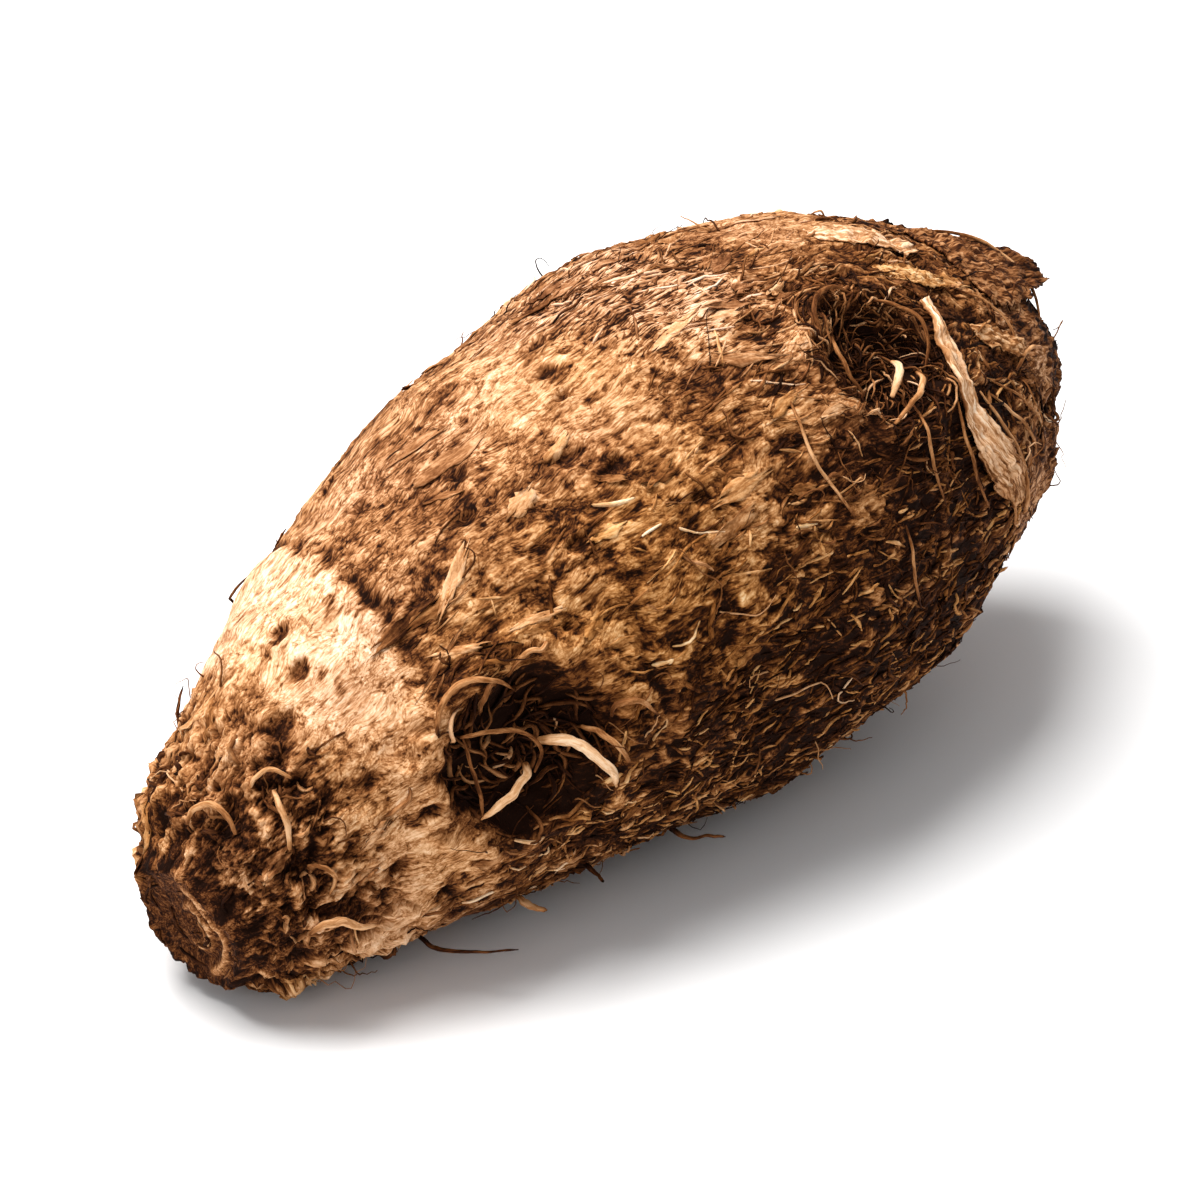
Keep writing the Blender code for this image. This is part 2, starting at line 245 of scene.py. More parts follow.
def fields(s, a):
    """Every quality of the bark at (s, a): tone, hue, cover, eyes, rings, pits and height."""
    s = np.clip(s, 0.0, M_LEN)
    x, r = np.interp(s, M_S, M_X), np.interp(s, M_S, M_R)
    p = straight(s, a)
    warp = np.stack([2.6 * fbm(p / 11.0, 2, 51), 1.9 * fbm(p / 8.0, 2, 52), 1.9 * fbm(p / 8.0, 2, 53)], -1)
    q = p + warp

    # eyes: hollows with a ragged outline
    eye = np.zeros_like(x)
    eye_rim = np.zeros_like(x)
    for k, (ex, ea, size, depth) in enumerate(EYES):
        big = (12.3, 10.2, 9.0)[k]
        d = np.sqrt(((x - ex) / (1.08, 1.0, 1.0)[k]) ** 2 + (r * turn(a, ea)) ** 2)
        d = d * (1.0 + 0.34 * fbm(p / 5.0, 2, 61 + k)) / big
        eye = np.maximum(eye, 1.0 - sstep(d, 0.55, 1.08))
        eye_rim = np.maximum(eye_rim, np.exp(-((d - 1.10) / 0.17) ** 2))

    # the smooth pale collar above the neck: its upper edge is a leaf scar
    edge = x - (-44.9 - 4.9 * np.clip(a, -1.1, 1.2)) - 1.0 * noise(p / 4.0, 54)
    foot = x - (-59.5 - 2.6 * blob(x, a, -60.0, 18.0, 60.0, 30.0) - 6.5 * blob(x, a, -60.0, 98.0, 60.0, 36.0, 3.0)) - 4.6 * fbm(p / 4.0, 3, 55)
    low = sstep(a + 0.10 * noise(p / 5.0, 65), 0.12, 0.72) * (1.0 - sstep(a, 2.5, 3.0))
    ringed = np.clip(blob(x, a, -50.0, 10.0, 30.0, 105.0, 6.0) + 0.7 * blob(x, a, -50.0, 165.0, 30.0, 40.0, 4.0), 0, 1)
    collar = sstep(foot, -2.2 - 1.6 * low, 2.2 + 1.6 * low) * (1.0 - sstep(edge, -0.9 - 2.2 * low, 0.3 + 0.8 * low)) * ringed * (1.0 - eye)
    scarline = np.exp(-((edge - 0.6) / 0.7) ** 2) * ringed * sstep(noise(p / 5.0, 56), -0.35, 0.1) * (1.0 - 0.55 * low)

    neck = 1.0 - sstep(x + 0.08 * r * np.cos(a), -67.0, -58.0)
    tip = 1.0 - sstep(x + 1.6 * noise(p / 4.0, 57), -77.5, -71.5)
    crown = sstep(x, 50.0, 66.0)
    upper = blob(x, a, -23.0, -14.0, 36.0, 50.0, 3.0)
    top = blob(x, a, 26.0, -12.0, 28.0, 30.0, 3.0)
    grey = blob(x - 0.10 * r * a, a, 9.0, -6.0, 10.5, 42.0, 3.0)
    cream = blob(x, a, -13.0, -3.0, 8.5, 22.0, 3.0) + 0.8 * blob(x, a, 35.0, -16.0, 11.0, 27.0, 3.0) \
        + 0.7 * blob(x, a, -37.0, -30.0, 7.0, 22.0, 3.0) + 0.5 * blob(x, a, -10.0, 28.0, 6.0, 10.0)
    # the belly: dark fibrous bark, with painted shade on this lower side
    belly_bark_and_painted_shade = np.maximum(blob(x, a, 10.0, 108.0, 56.0, 38.0, 3.0), blob(x, a, 34.0, 66.0, 20.0, 26.0, 3.0))
    ochre = blob(x, a, -22.0, 55.0, 22.0, 26.0) + 0.8 * blob(x, a, -8.0, 88.0, 26.0, 20.0)
    # the underside, darker towards the bottom: painted shade
    under = blob(x, a, 0.0, 180.0, 90.0, 46.0, 3.0)
    at_eye2 = blob(x, a, 30.0, 40.0, 14.0, 23.0, 3.0)
    side = sstep(a, 0.65, 1.15) * (1.0 - sstep(a, 2.3, 2.9))

    # cover: 1 where the pale papery skin is left, 0 where it is worn to the dark fibres.
    # The skin breaks into flakes, and each flake keeps its own tone and level.
    torn = q + np.stack([1.4 * fbm(p / 2.4, 2, 58), 1.2 * fbm(p / 2.4, 2, 59), 1.2 * fbm(p / 2.4, 2, 60)], -1)
    e1, one1, two1 = cells(torn / np.array([4.6, 2.9, 2.9]), 73)
    e2, one2, two2 = cells(torn / np.array([2.1, 1.5, 1.5]), 75)
    whole = np.clip(upper + top + 0.8 * grey + 0.9 * collar, 0.0, 1.0)
    m = 0.62 * fbm(q / np.array([7.0, 4.4, 4.4]), 4, 71, 0.62) + (0.20 * (one1 - 0.5) + 0.26 * (one2 - 0.5)) * (1.0 - 0.5 * whole)
    # the belly and underside terms below darken the tone: painted shade
    bias = 0.01 + 0.11 * upper + 0.06 * top + 0.19 * cream + 0.02 * grey - 0.23 * belly_bark_and_painted_shade + 0.06 * ochre - 0.24 * tip - 0.12 * crown - 0.12 * at_eye2
    bias = bias + 0.20 * fbm(p / 12.0, 2, 76) - 0.12 * under + 0.20 * blob(x, a, -65.0, 40.0, 8.0, 130.0, 3.0) + 0.14 * blob(x, a, 50.0, 76.0, 9.0, 16.0)
    bias = bias + 0.45 * blob(x, a, 0.0, -110.0, 60.0, 34.0, 3.0) * fbm(p / 20.0, 2, 78)
    bias = bias - 0.16 * blob(x, a, -69.0, 27.0, 4.5, 24.0) - 0.12 * blob(x, a, -66.0, 62.0, 4.5, 16.0)
    bias = bias + (0.36 - 0.22 * low) * collar
    soft = 0.07 + 0.10 * upper + 0.12 * collar
    cover = sstep(m + bias, -soft, soft)
    cover = cover * (1.0 - eye)
    pale = 0.58 + 0.03 * upper - 0.05 * top + 0.14 * cream + 0.17 * grey - 0.08 * belly_bark_and_painted_shade - 0.04 * crown + 0.04 * ochre - 0.01 * at_eye2 + 0.04 * neck
    pale = pale + 0.08 * fbm(p / 8.0, 2, 81) + 0.13 * (two1 - 0.5) + (0.84 - 0.16 * low - pale) * collar
    dark = 0.24 + 0.09 * upper + 0.13 * top + 0.12 * cream + 0.19 * grey + 0.03 * ochre - 0.12 * belly_bark_and_painted_shade - 0.02 * neck - 0.06 * tip - 0.05 * crown - 0.03 * at_eye2 - 0.04 * under
    dark = dark + 0.10 * fbm(p / 5.0, 2, 82) + 0.13 * (two2 - 0.5) + (0.30 - 0.16 * low) * collar
    tone = dark + (pale - dark) * cover + 0.15 * fbm(p / 1.5, 2, 83)
    crack = (1.0 - 0.65 * collar) * (0.75 * (1.0 - sstep(e1, 0.0, 0.16)) + 0.55 * (1.0 - sstep(e2, 0.0, 0.22)))
    tone = tone - 0.15 * crack * (1.0 - 0.6 * whole)
    speck = sstep(noise(torn / np.array([1.7, 1.3, 1.3]), 88), 0.30, 0.46)
    tone = tone - 0.27 * speck * (0.6 + 0.4 * upper - 0.1 * collar + 0.3 * low - 0.35 * np.minimum(cream, 1.0))

    # wavy grain: thin dark lines that run along the corm
    wave = p + np.stack([0.0 * x, 2.6 * fbm(p / 6.0, 2, 84), 2.6 * fbm(p / 6.0, 2, 85)], -1)
    g = noise(wave / np.array([8.0, 1.2, 1.2]), 86)
    line = 1.0 - sstep(np.abs(g), 0.02, 0.20)
    grainy = 0.45 + 0.25 * top + 0.85 * grey - 0.20 * collar - 0.15 * np.minimum(cream, 1.0)
    tone = tone - 0.26 * line * grainy
    grain = np.clip(0.35 + 0.45 * upper + 0.4 * top + 1.0 * grey + 0.15 * collar - 0.3 * belly_bark_and_painted_shade - 0.3 * np.minimum(cream, 1.0), 0.0, 1.5) * (1.0 - eye)
    # the eye hollows are darkened: their own dark tissue, and painted shade in the hollows
    tone = tone - 0.36 * eye * (0.8 + 0.5 * fbm(p / 3.0, 2, 87))
    hue = 0.42 + 0.30 * fbm(p / 14.0, 2, 91) + 0.55 * ochre - 0.25 * crown - 0.15 * eye - 0.05 * neck \
        - 0.30 * grey - 0.15 * top - 0.22 * upper - 0.15 * collar + 0.15 * blob(x, a, -56.0, 75.0, 9.0, 40.0)

    # leaf-scar rings: broken dark creases, and the bark after each starts with a lip
    crease = np.zeros_like(x)
    saw = np.zeros_like(x)
    ridge = np.zeros_like(x)
    wander = 1.5 * fbm(p / 6.0, 3, 93)
    for k, rx in enumerate(RING_X):
        d = x - rx - ring_shift(k, a) - wander
        ridge = np.maximum(ridge, np.exp(-((d - 1.7) / 1.0) ** 2) * sstep(np.sin(a * 3.0 + 2.1 * k + 1.5 * noise(p / 6.0, 94)), -0.4, 0.8))
        strong = 0.7 * sstep(np.sin(a * 2.0 + 1.3 * k + 1.1 * noise(p / 8.0, 92)), -0.2, 0.9)
        crease = np.maximum(crease, strong * np.exp(-(d / 0.7) ** 2))
        saw = saw + strong * sstep(d, 0.0, 1.3) * (1.0 - sstep(d, 1.3, 8.0))
    crease = np.maximum(crease * (1.0 - 0.8 * upper), 1.0 * scarline) * (1.0 - eye)
    ridge = ridge * (0.25 + 0.75 * belly_bark_and_painted_shade) * (1.0 - collar) * (1.0 - eye) * (1.0 - 0.6 * whole)
    tone = tone - 0.30 * crease - 0.14 * scarline * (1.0 - eye) + 0.20 * ridge

    # heights, in mm
    rough = 1.0 - 0.80 * collar * (1.0 - 0.6 * low)
    streak = 1.0 - np.abs(g) * 2.0
    h = 0.42 * fbm(p / 9.0, 2, 111) + 0.24 * fbm(p / 3.2, 2, 112) * rough
    h = h + (0.36 * cover + 0.20 * (1.0 - line) * grainy + 0.20 * (two1 - 0.5) + 0.14 * (two2 - 0.5)
             + 0.10 * noise(q / np.array([3.0, 0.9, 0.9]), 113) - 0.16 * crack - 0.15 * speck) * (0.35 + 0.65 * rough) * (1.0 - 0.35 * whole)
    h = h + 0.25 * saw + 0.22 * ridge - 0.50 * crease + 0.35 * collar * sstep(-edge, -0.2, 2.0)
    h = h - 1.9 * eye + 1.0 * eye_rim * (0.5 + 0.9 * noise(p / 2.5, 114))
    knob = noise(p / 3.3, 115)
    h = h + neck * (1.0 * knob + 0.40 * fbm(p / 1.6, 2, 116) + 1.0 * (one1 - 0.5) + 0.5 * (one2 - 0.5) - 0.5 * crack) * sstep(s, R_SCAR + 1.0, R_SCAR + 6.0)
    h = h - 0.9 * blob(s, a, R_SCAR + 3.5, 0.0, 3.2, 1e6)
    tone = tone + neck * (0.34 * knob + 0.40 * (one1 - 0.5) + 0.12 * (one2 - 0.5) - 0.14 * crack + 0.09 + 0.08 * tip + 0.07 * low)
    tone = tone + neck * (np.minimum(tone, 0.60) - tone) * 0.75
    tone = tone - 0.24 * tip * sstep(noise(p / 3.4, 128), 0.0, 0.35) * (1.0 - collar)
    h = h + crown * 0.55 * noise(q / np.array([9.0, 2.0, 2.0]), 117)

    # pits
    pit = np.zeros_like(x)
    lip = np.zeros_like(x)
    for px, pa, pr, plug in PITS:
        near = (np.abs(x - px) < 4.0 * pr)
        if not near.any():
            continue
        d = np.sqrt(((x - px) / 1.25) ** 2 + (r * turn(a, pa)) ** 2) / pr
        pit = np.maximum(pit, np.where(near, 1.0 - sstep(d * (1.0 + 0.5 * noise(p / 1.3, 118)), 0.45, 1.15), 0.0))
        lip = np.maximum(lip, np.where(near, np.exp(-((d - 1.35) / 0.35) ** 2), 0.0))
    h = h - 0.85 * pit + 0.14 * lip
    tone = tone + 0.85 * pit * (0.10 - tone) - 0.10 * lip * (1.0 - collar)

    # the basal scar: rings of dry tissue in a shallow dish
    on = 1.0 - sstep(s, R_SCAR - 0.6, R_SCAR + 1.2)
    w = s + 1.1 * noise(np.stack([1.4 * np.cos(a), 1.4 * np.sin(a), s / 7.0], -1), 121)
    ring1 = np.exp(-((w - 3.4) / 0.60) ** 2) * sstep(np.cos(a - 1.3) + 0.8 * noise(p / 3.0, 125), -0.5, 0.4)
    ring2 = np.exp(-((w - 7.0) / 0.65) ** 2) * sstep(np.cos(a - 1.5) + 0.8 * noise(p / 3.0, 127), -0.4, 0.5)
    h = h * (1.0 - on) + on * (0.75 * ring1 + 0.80 * ring2 + 0.28 * fbm(p / 1.7, 2, 122) - 0.5 * np.exp(-((w - 5.2) / 0.7) ** 2) - 0.9 * (1.0 - sstep(s, 0.0, 3.0)))
    tone = tone * (1.0 - on) + on * (0.15 + 0.60 * ring1 + 0.52 * ring2 + 0.13 * noise(p / 1.1, 123))
    # worn bark is brown rather than black, except in the eyes and on the belly, where the dark is kept: painted shade
    # over their own dark bark
    deep = np.clip(np.maximum(np.maximum(belly_bark_and_painted_shade, eye), 0.6 * at_eye2), 0.0, 1.0)
    tone = tone + 0.45 * np.maximum(0.31 - tone, 0.0) * (1.0 - deep) * (1.0 - pit)
    rim = np.exp(-((s - R_SCAR - 0.5) / 0.9) ** 2)
    h = h + 1.0 * rim * (0.8 + 0.9 * noise(p / 1.9, 124))
    tone = tone + 0.26 * rim * sstep(noise(p / 2.6, 126), -0.2, 0.25)
    tone = tone - 0.14 * np.exp(-((s - R_SCAR - 1.5) / 1.6) ** 2)
    fade = sstep(s, 0.0, 0.8) * (1.0 - sstep(s, M_LEN - 1.2, M_LEN))
    return dict(x=x, r=r, p=p, q=q, tone=tone, hue=hue, cover=cover, eye=eye, eye_rim=eye_rim, crease=crease,
                collar=collar, neck=neck, crown=crown, upper=upper, top=top, belly_bark_and_painted_shade=belly_bark_and_painted_shade, at_eye2=at_eye2,
                scar=on, pit=pit, tip=tip, cream=cream, grey=grey, ochre=ochre, grain=grain, h=h * fade)


# where the formula's corm lies in the row frame
_g = np.meshgrid(np.linspace(0.0, 1.0, 47) * M_LEN, np.linspace(-PI, PI, 56, endpoint=False), indexing="ij")
_P = form(_g[0], _g[1])
_P[..., 2] = np.maximum(_P[..., 2], 0.0)
_lo, _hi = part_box("corm")
_lo, _hi = np.array(_lo) * 1000.0, np.array(_hi) * 1000.0
SHIFT = 0.5 * (_lo + _hi) - 0.5 * (_P.reshape(-1, 3).min(0) + _P.reshape(-1, 3).max(0))
SHIFT[2] = 0.0


def to_row(p):
    """Millimetres in the corm's frame to metres in the row frame, never under the floor."""
    p = (p + SHIFT) * 0.001
    # what would reach under the floor is pressed together just above it, in its own order, so no two layers meet
    press = 0.0007
    low = p[..., 2] < press
    p[..., 2] = np.where(low, 0.00002 + (press - 0.00002) * np.exp(np.minimum(p[..., 2] - press, 0.0) / (press - 0.00002)), p[..., 2])
    return p


def skin(s, a, lift=0.0, f=None):
    """A point on the detailed bark, raised by lift mm."""
    f = f or fields(s, a)
    n = form_normal(s, a)
    return form(s, a) + n * (f["h"] + lift)[..., None], n, f


# ================================================================ materials
def new_material(name):
    m = bpy.data.materials.new(name)
    m.use_nodes = True
    nt = m.node_tree
    nt.nodes.clear()
    out = nt.nodes.new("ShaderNodeOutputMaterial")
    bsdf = nt.nodes.new("ShaderNodeBsdfPrincipled")
    nt.links.new(bsdf.outputs["BSDF"], out.inputs["Surface"])
    return m, nt, bsdf


def node(nt, kind, **props):
    n = nt.nodes.new(kind)
    for k, v in props.items():
        setattr(n, k, v)
    return n


def attribute(nt, name):
    n = node(nt, "ShaderNodeAttribute", attribute_name=name)
    n.attribute_type = "GEOMETRY"
    return n


def math_node(nt, op, a, b, clamp=False):
    n = node(nt, "ShaderNodeMath", operation=op, use_clamp=clamp)
    for i, v in enumerate((a, b)):
        if isinstance(v, (int, float)):
            n.inputs[i].default_value = v
        else:
            nt.links.new(v, n.inputs[i])
    return n.outputs[0]


def ramp(nt, fac, stops):
    n = node(nt, "ShaderNodeValToRGB")
    el = n.color_ramp.elements
    while len(el) > 1:
        el.remove(el[-1])
    el[0].position, el[0].color = stops[0][0], (*stops[0][1], 1.0)
    for pos, col in stops[1:]:
        e = el.new(pos)
        e.color = (*col, 1.0)
    nt.links.new(fac, n.inputs["Fac"])
    return n.outputs["Color"]


def noise_node(nt, vec, scale, detail=4.0, rough=0.6, stretch=(1.0, 1.0, 1.0), distortion=0.0):
    mp = node(nt, "ShaderNodeMapping")
    mp.inputs["Scale"].default_value = stretch
    nt.links.new(vec, mp.inputs["Vector"])
    n = node(nt, "ShaderNodeTexNoise")
    n.inputs["Scale"].default_value = scale
    n.inputs["Detail"].default_value = detail
    n.inputs["Roughness"].default_value = rough
    n.inputs["Distortion"].default_value = distortion
    nt.links.new(mp.outputs["Vector"], n.inputs["Vector"])
    return n.outputs["Fac"]


WARM = [(0.00, (0.010, 0.003, 0.0012)), (0.12, (0.028, 0.008, 0.003)), (0.24, (0.082, 0.026, 0.008)),
        (0.38, (0.190, 0.070, 0.025)), (0.52, (0.350, 0.155, 0.066)), (0.66, (0.560, 0.300, 0.158)),
        (0.80, (0.745, 0.455, 0.286)), (0.92, (0.858, 0.612, 0.432)), (1.00, (0.918, 0.718, 0.545))]
OCHRE = [(0.00, (0.010, 0.003, 0.001)), (0.12, (0.030, 0.008, 0.002)), (0.24, (0.096, 0.029, 0.006)),
         (0.38, (0.225, 0.080, 0.018)), (0.52, (0.420, 0.178, 0.050)), (0.66, (0.635, 0.325, 0.120)),
         (0.80, (0.785, 0.490, 0.235)), (0.92, (0.875, 0.640, 0.380)), (1.00, (0.925, 0.735, 0.500))]


def bark_material(name, streak=0.34, blotch=0.12, flecks=0.0, speck=0.20, bump=0.35, rough=(0.70, 0.95), base_shift=0.0, spec=0.05):
    m, nt, bsdf = new_material(name)
    flow = attribute(nt, "flow").outputs["Vector"]
    tone = attribute(nt, "tone").outputs["Fac"]
    hue = attribute(nt, "hue").outputs["Fac"]
    long = noise_node(nt, flow, 1.0, 5.0, 0.62, (0.34, 1.5, 1.5), 0.8)
    mid = noise_node(nt, flow, 1.0, 5.0, 0.66, (0.55, 0.75, 0.75), 0.6)
    tiny = noise_node(nt, flow, 3.4, 3.0, 0.65, (0.6, 1.0, 1.0))
    v = math_node(nt, "ADD", tone, base_shift)
    crisp = node(nt, "ShaderNodeMapRange", interpolation_type="SMOOTHSTEP")
    for key, val in (("From Min", 0.40), ("From Max", 0.60), ("To Min", -0.55), ("To Max", 0.55)):
        crisp.inputs[key].default_value = val
    nt.links.new(long, crisp.inputs["Value"])
    v = math_node(nt, "ADD", v, math_node(nt, "MULTIPLY", crisp.outputs["Result"], streak))
    v = math_node(nt, "ADD", v, math_node(nt, "MULTIPLY", math_node(nt, "SUBTRACT", mid, 0.5), 2.6 * blotch))
    # crisp dark flecks
    fleck = node(nt, "ShaderNodeMapRange", interpolation_type="SMOOTHSTEP")
    for key, val in (("From Min", 0.555), ("From Max", 0.620), ("To Min", 0.0), ("To Max", -1.0)):
        fleck.inputs[key].default_value = val
    nt.links.new(noise_node(nt, flow, 1.0, 3.0, 0.55, (0.62, 0.95, 0.95), 0.9), fleck.inputs["Value"])
    v = math_node(nt, "ADD", v, math_node(nt, "MULTIPLY", fleck.outputs["Result"], flecks))
    # thin wavy lines along the grain
    lines = noise_node(nt, flow, 1.0, 2.0, 0.5, (0.16, 1.05, 1.05), 1.1)
    off = math_node(nt, "ABSOLUTE", math_node(nt, "SUBTRACT", lines, 0.5), 0.0)
    thin = node(nt, "ShaderNodeMapRange", interpolation_type="SMOOTHSTEP")
    for key, val in (("From Min", 0.015), ("From Max", 0.075), ("To Min", -0.24), ("To Max", 0.05)):
        thin.inputs[key].default_value = val
    nt.links.new(off, thin.inputs["Value"])
    v = math_node(nt, "ADD", v, math_node(nt, "MULTIPLY", thin.outputs["Result"], attribute(nt, "grain").outputs["Fac"]))
    v = math_node(nt, "ADD", v, math_node(nt, "MULTIPLY", math_node(nt, "SUBTRACT", tiny, 0.5), 2.2 * speck), True)
    mix = node(nt, "ShaderNodeMix", data_type="RGBA", blend_type="MIX")
    nt.links.new(hue, mix.inputs["Factor"])
    nt.links.new(ramp(nt, v, WARM), mix.inputs[6])
    nt.links.new(ramp(nt, v, OCHRE), mix.inputs[7])
    nt.links.new(mix.outputs[2], bsdf.inputs["Base Color"])
    mr = node(nt, "ShaderNodeMapRange")
    mr.inputs["To Min"].default_value = rough[1]
    mr.inputs["To Max"].default_value = rough[0]
    nt.links.new(long, mr.inputs["Value"])
    nt.links.new(mr.outputs["Result"], bsdf.inputs["Roughness"])
    bsdf.inputs["Specular IOR Level"].default_value = spec
    b = node(nt, "ShaderNodeBump")
    b.inputs["Strength"].default_value = bump
    b.inputs["Distance"].default_value = 0.0004
    hsum = math_node(nt, "ADD", math_node(nt, "MULTIPLY", long, 1.0), math_node(nt, "MULTIPLY", tiny, 0.5))
    nt.links.new(hsum, b.inputs["Height"])
    nt.links.new(b.outputs["Normal"], bsdf.inputs["Normal"])
    return m


# ============================================================ mesh utilities
def make_mesh(name, verts, groups, attrs, mat, uvs=None):
    """verts in metres, groups a list of (n, 3) or (n, 4) arrays, uvs as many (n, 3 or 4, 2) arrays."""
    me = bpy.data.meshes.new(name)
    me.vertices.add(len(verts))
    me.vertices.foreach_set("co", np.asarray(verts, np.float32).ravel())
    loops = np.concatenate([g.ravel() for g in groups]).astype(np.int32)
    sizes = np.concatenate([np.full(len(g), g.shape[1], np.int32) for g in groups])
    starts = np.concatenate([[0], np.cumsum(sizes)[:-1]]).astype(np.int32)
    me.loops.add(len(loops))
    me.loops.foreach_set("vertex_index", loops)
    me.polygons.add(len(sizes))
    me.polygons.foreach_set("loop_start", starts)
    me.update(calc_edges=True)
    if uvs is not None:
        layer = me.uv_layers.new(name="OFBake", do_init=False)
        layer.uv.foreach_set("vector", np.concatenate([u.reshape(-1, 2) for u in uvs]).astype(np.float32).ravel())
    for key, val in attrs.items():
        val = np.asarray(val, np.float32)
        if val.ndim == 1:
            at = me.attributes.new(key, "FLOAT", "POINT")
            at.data.foreach_set("value", val)
        else:
            at = me.attributes.new(key, "FLOAT_VECTOR", "POINT")
            at.data.foreach_set("vector", val.ravel())
    me.validate()
    me.shade_smooth()
    me.materials.append(mat)
    ob = bpy.data.objects.new(name, me)
    bpy.context.scene.collection.objects.link(ob)
    return ob


def finish_piece(ob, nodes):
    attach(ob, "root")
    if nodes:
        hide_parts(*nodes)


# ============================================================ the bark itself
def make_bark(mat, na=640, ns=310):
    s = M_LEN * np.linspace(0.0, 1.0, ns + 1)[1:-1]
    a = np.linspace(-PI, PI, na, endpoint=False)
    S, A = np.meshgrid(s, a, indexing="ij")
    P, _, f = skin(S, A)
    ends = []
    for e in (0.0, M_LEN):
        Pe, _, fe = skin(np.array([e]), np.array([0.0]))
        ends.append((Pe, fe))
    V = np.concatenate([P.reshape(-1, 3), ends[0][0], ends[1][0]])
    n = (ns - 1) * na
    i = np.arange(ns - 2)[:, None] * na
    j = np.arange(na)[None, :]
    jn = (j + 1) % na
    quads = np.stack([i + j, i + na + j, i + na + jn, i + jn], -1).reshape(-1, 4)
    jj = np.arange(na)
    cap0 = np.stack([np.full(na, n), jj, (jj + 1) % na], -1)
    last = (ns - 2) * na
    cap1 = np.stack([np.full(na, n + 1), last + (jj + 1) % na, last + jj], -1)
    # the corm laid out flat: angle across, length up
    u0, u1 = np.broadcast_to(j / na, (ns - 2, na)), np.broadcast_to((j + 1) / na, (ns - 2, na))
    v0 = np.broadcast_to((np.arange(ns - 2)[:, None] + 1) / ns, (ns - 2, na))
    v1 = v0 + 1.0 / ns
    uq = np.stack([np.stack([u0, v0], -1), np.stack([u0, v1], -1), np.stack([u1, v1], -1), np.stack([u1, v0], -1)], 2)
    tu0, tu1 = jj / na, (jj + 1) / na
    z, o = np.zeros(na), np.ones(na)
    uc0 = np.stack([np.stack([0.5 * (tu0 + tu1), z], -1), np.stack([tu0, z + 1.0 / ns], -1), np.stack([tu1, z + 1.0 / ns], -1)], 1)
    uc1 = np.stack([np.stack([0.5 * (tu0 + tu1), o], -1), np.stack([tu1, o - 1.0 / ns], -1), np.stack([tu0, o - 1.0 / ns], -1)], 1)
    at = {k: np.concatenate([f[k].ravel(), ends[0][1][k], ends[1][1][k]]) for k in ("tone", "hue", "grain")}
    at["hue"] = np.clip(at["hue"], 0.0, 1.0)
    at["flow"] = np.concatenate([f["q"].reshape(-1, 3), ends[0][1]["q"], ends[1][1]["q"]])
    ob = make_mesh("bark", to_row(V), [quads, cap0, cap1], at, mat, [uq.reshape(-1, 4, 2), uc0, uc1])
    finish_piece(ob, ["corm"])


# ================================================================== fibres
def spread(rng, n):
    """n points spread evenly over the corm: length and angle."""
    ss = np.linspace(0.0, M_LEN, 2000)
    w = np.cumsum(np.interp(ss, M_S, M_R) + 0.5)
    return np.interp(rng.random(n) * w[-1], w, ss), rng.uniform(-PI, PI, n)


def path_on(s0, a0, ang, length, curl, k, wave=None):
    """Paths from (s0, a0) at angle ang to the corm's length, bending by curl and waving."""
    t = np.linspace(0.0, 1.0, k + 1)
    d = ang[:, None] + curl[:, None] * (t[None, :] - 0.5)
    if wave is not None:
        d = d + wave[0][:, None] * np.sin(wave[1][:, None] * t[None, :] + wave[2][:, None])
    step = length[:, None] / k
    ds = np.concatenate([np.zeros((len(s0), 1)), np.cumsum(np.cos(d[:, :-1]) * step, 1)], 1)
    dy = np.concatenate([np.zeros((len(s0), 1)), np.cumsum(np.sin(d[:, :-1]) * step, 1)], 1)
    S = np.clip(s0[:, None] + ds, 0.3, M_LEN - 0.3)
    r = np.maximum(np.interp(S, M_S, M_R), 2.0)
    return S, a0[:, None] + dy / r


def unit(v):
    return v / (np.linalg.norm(v, axis=-1, keepdims=True) + 1e-9)


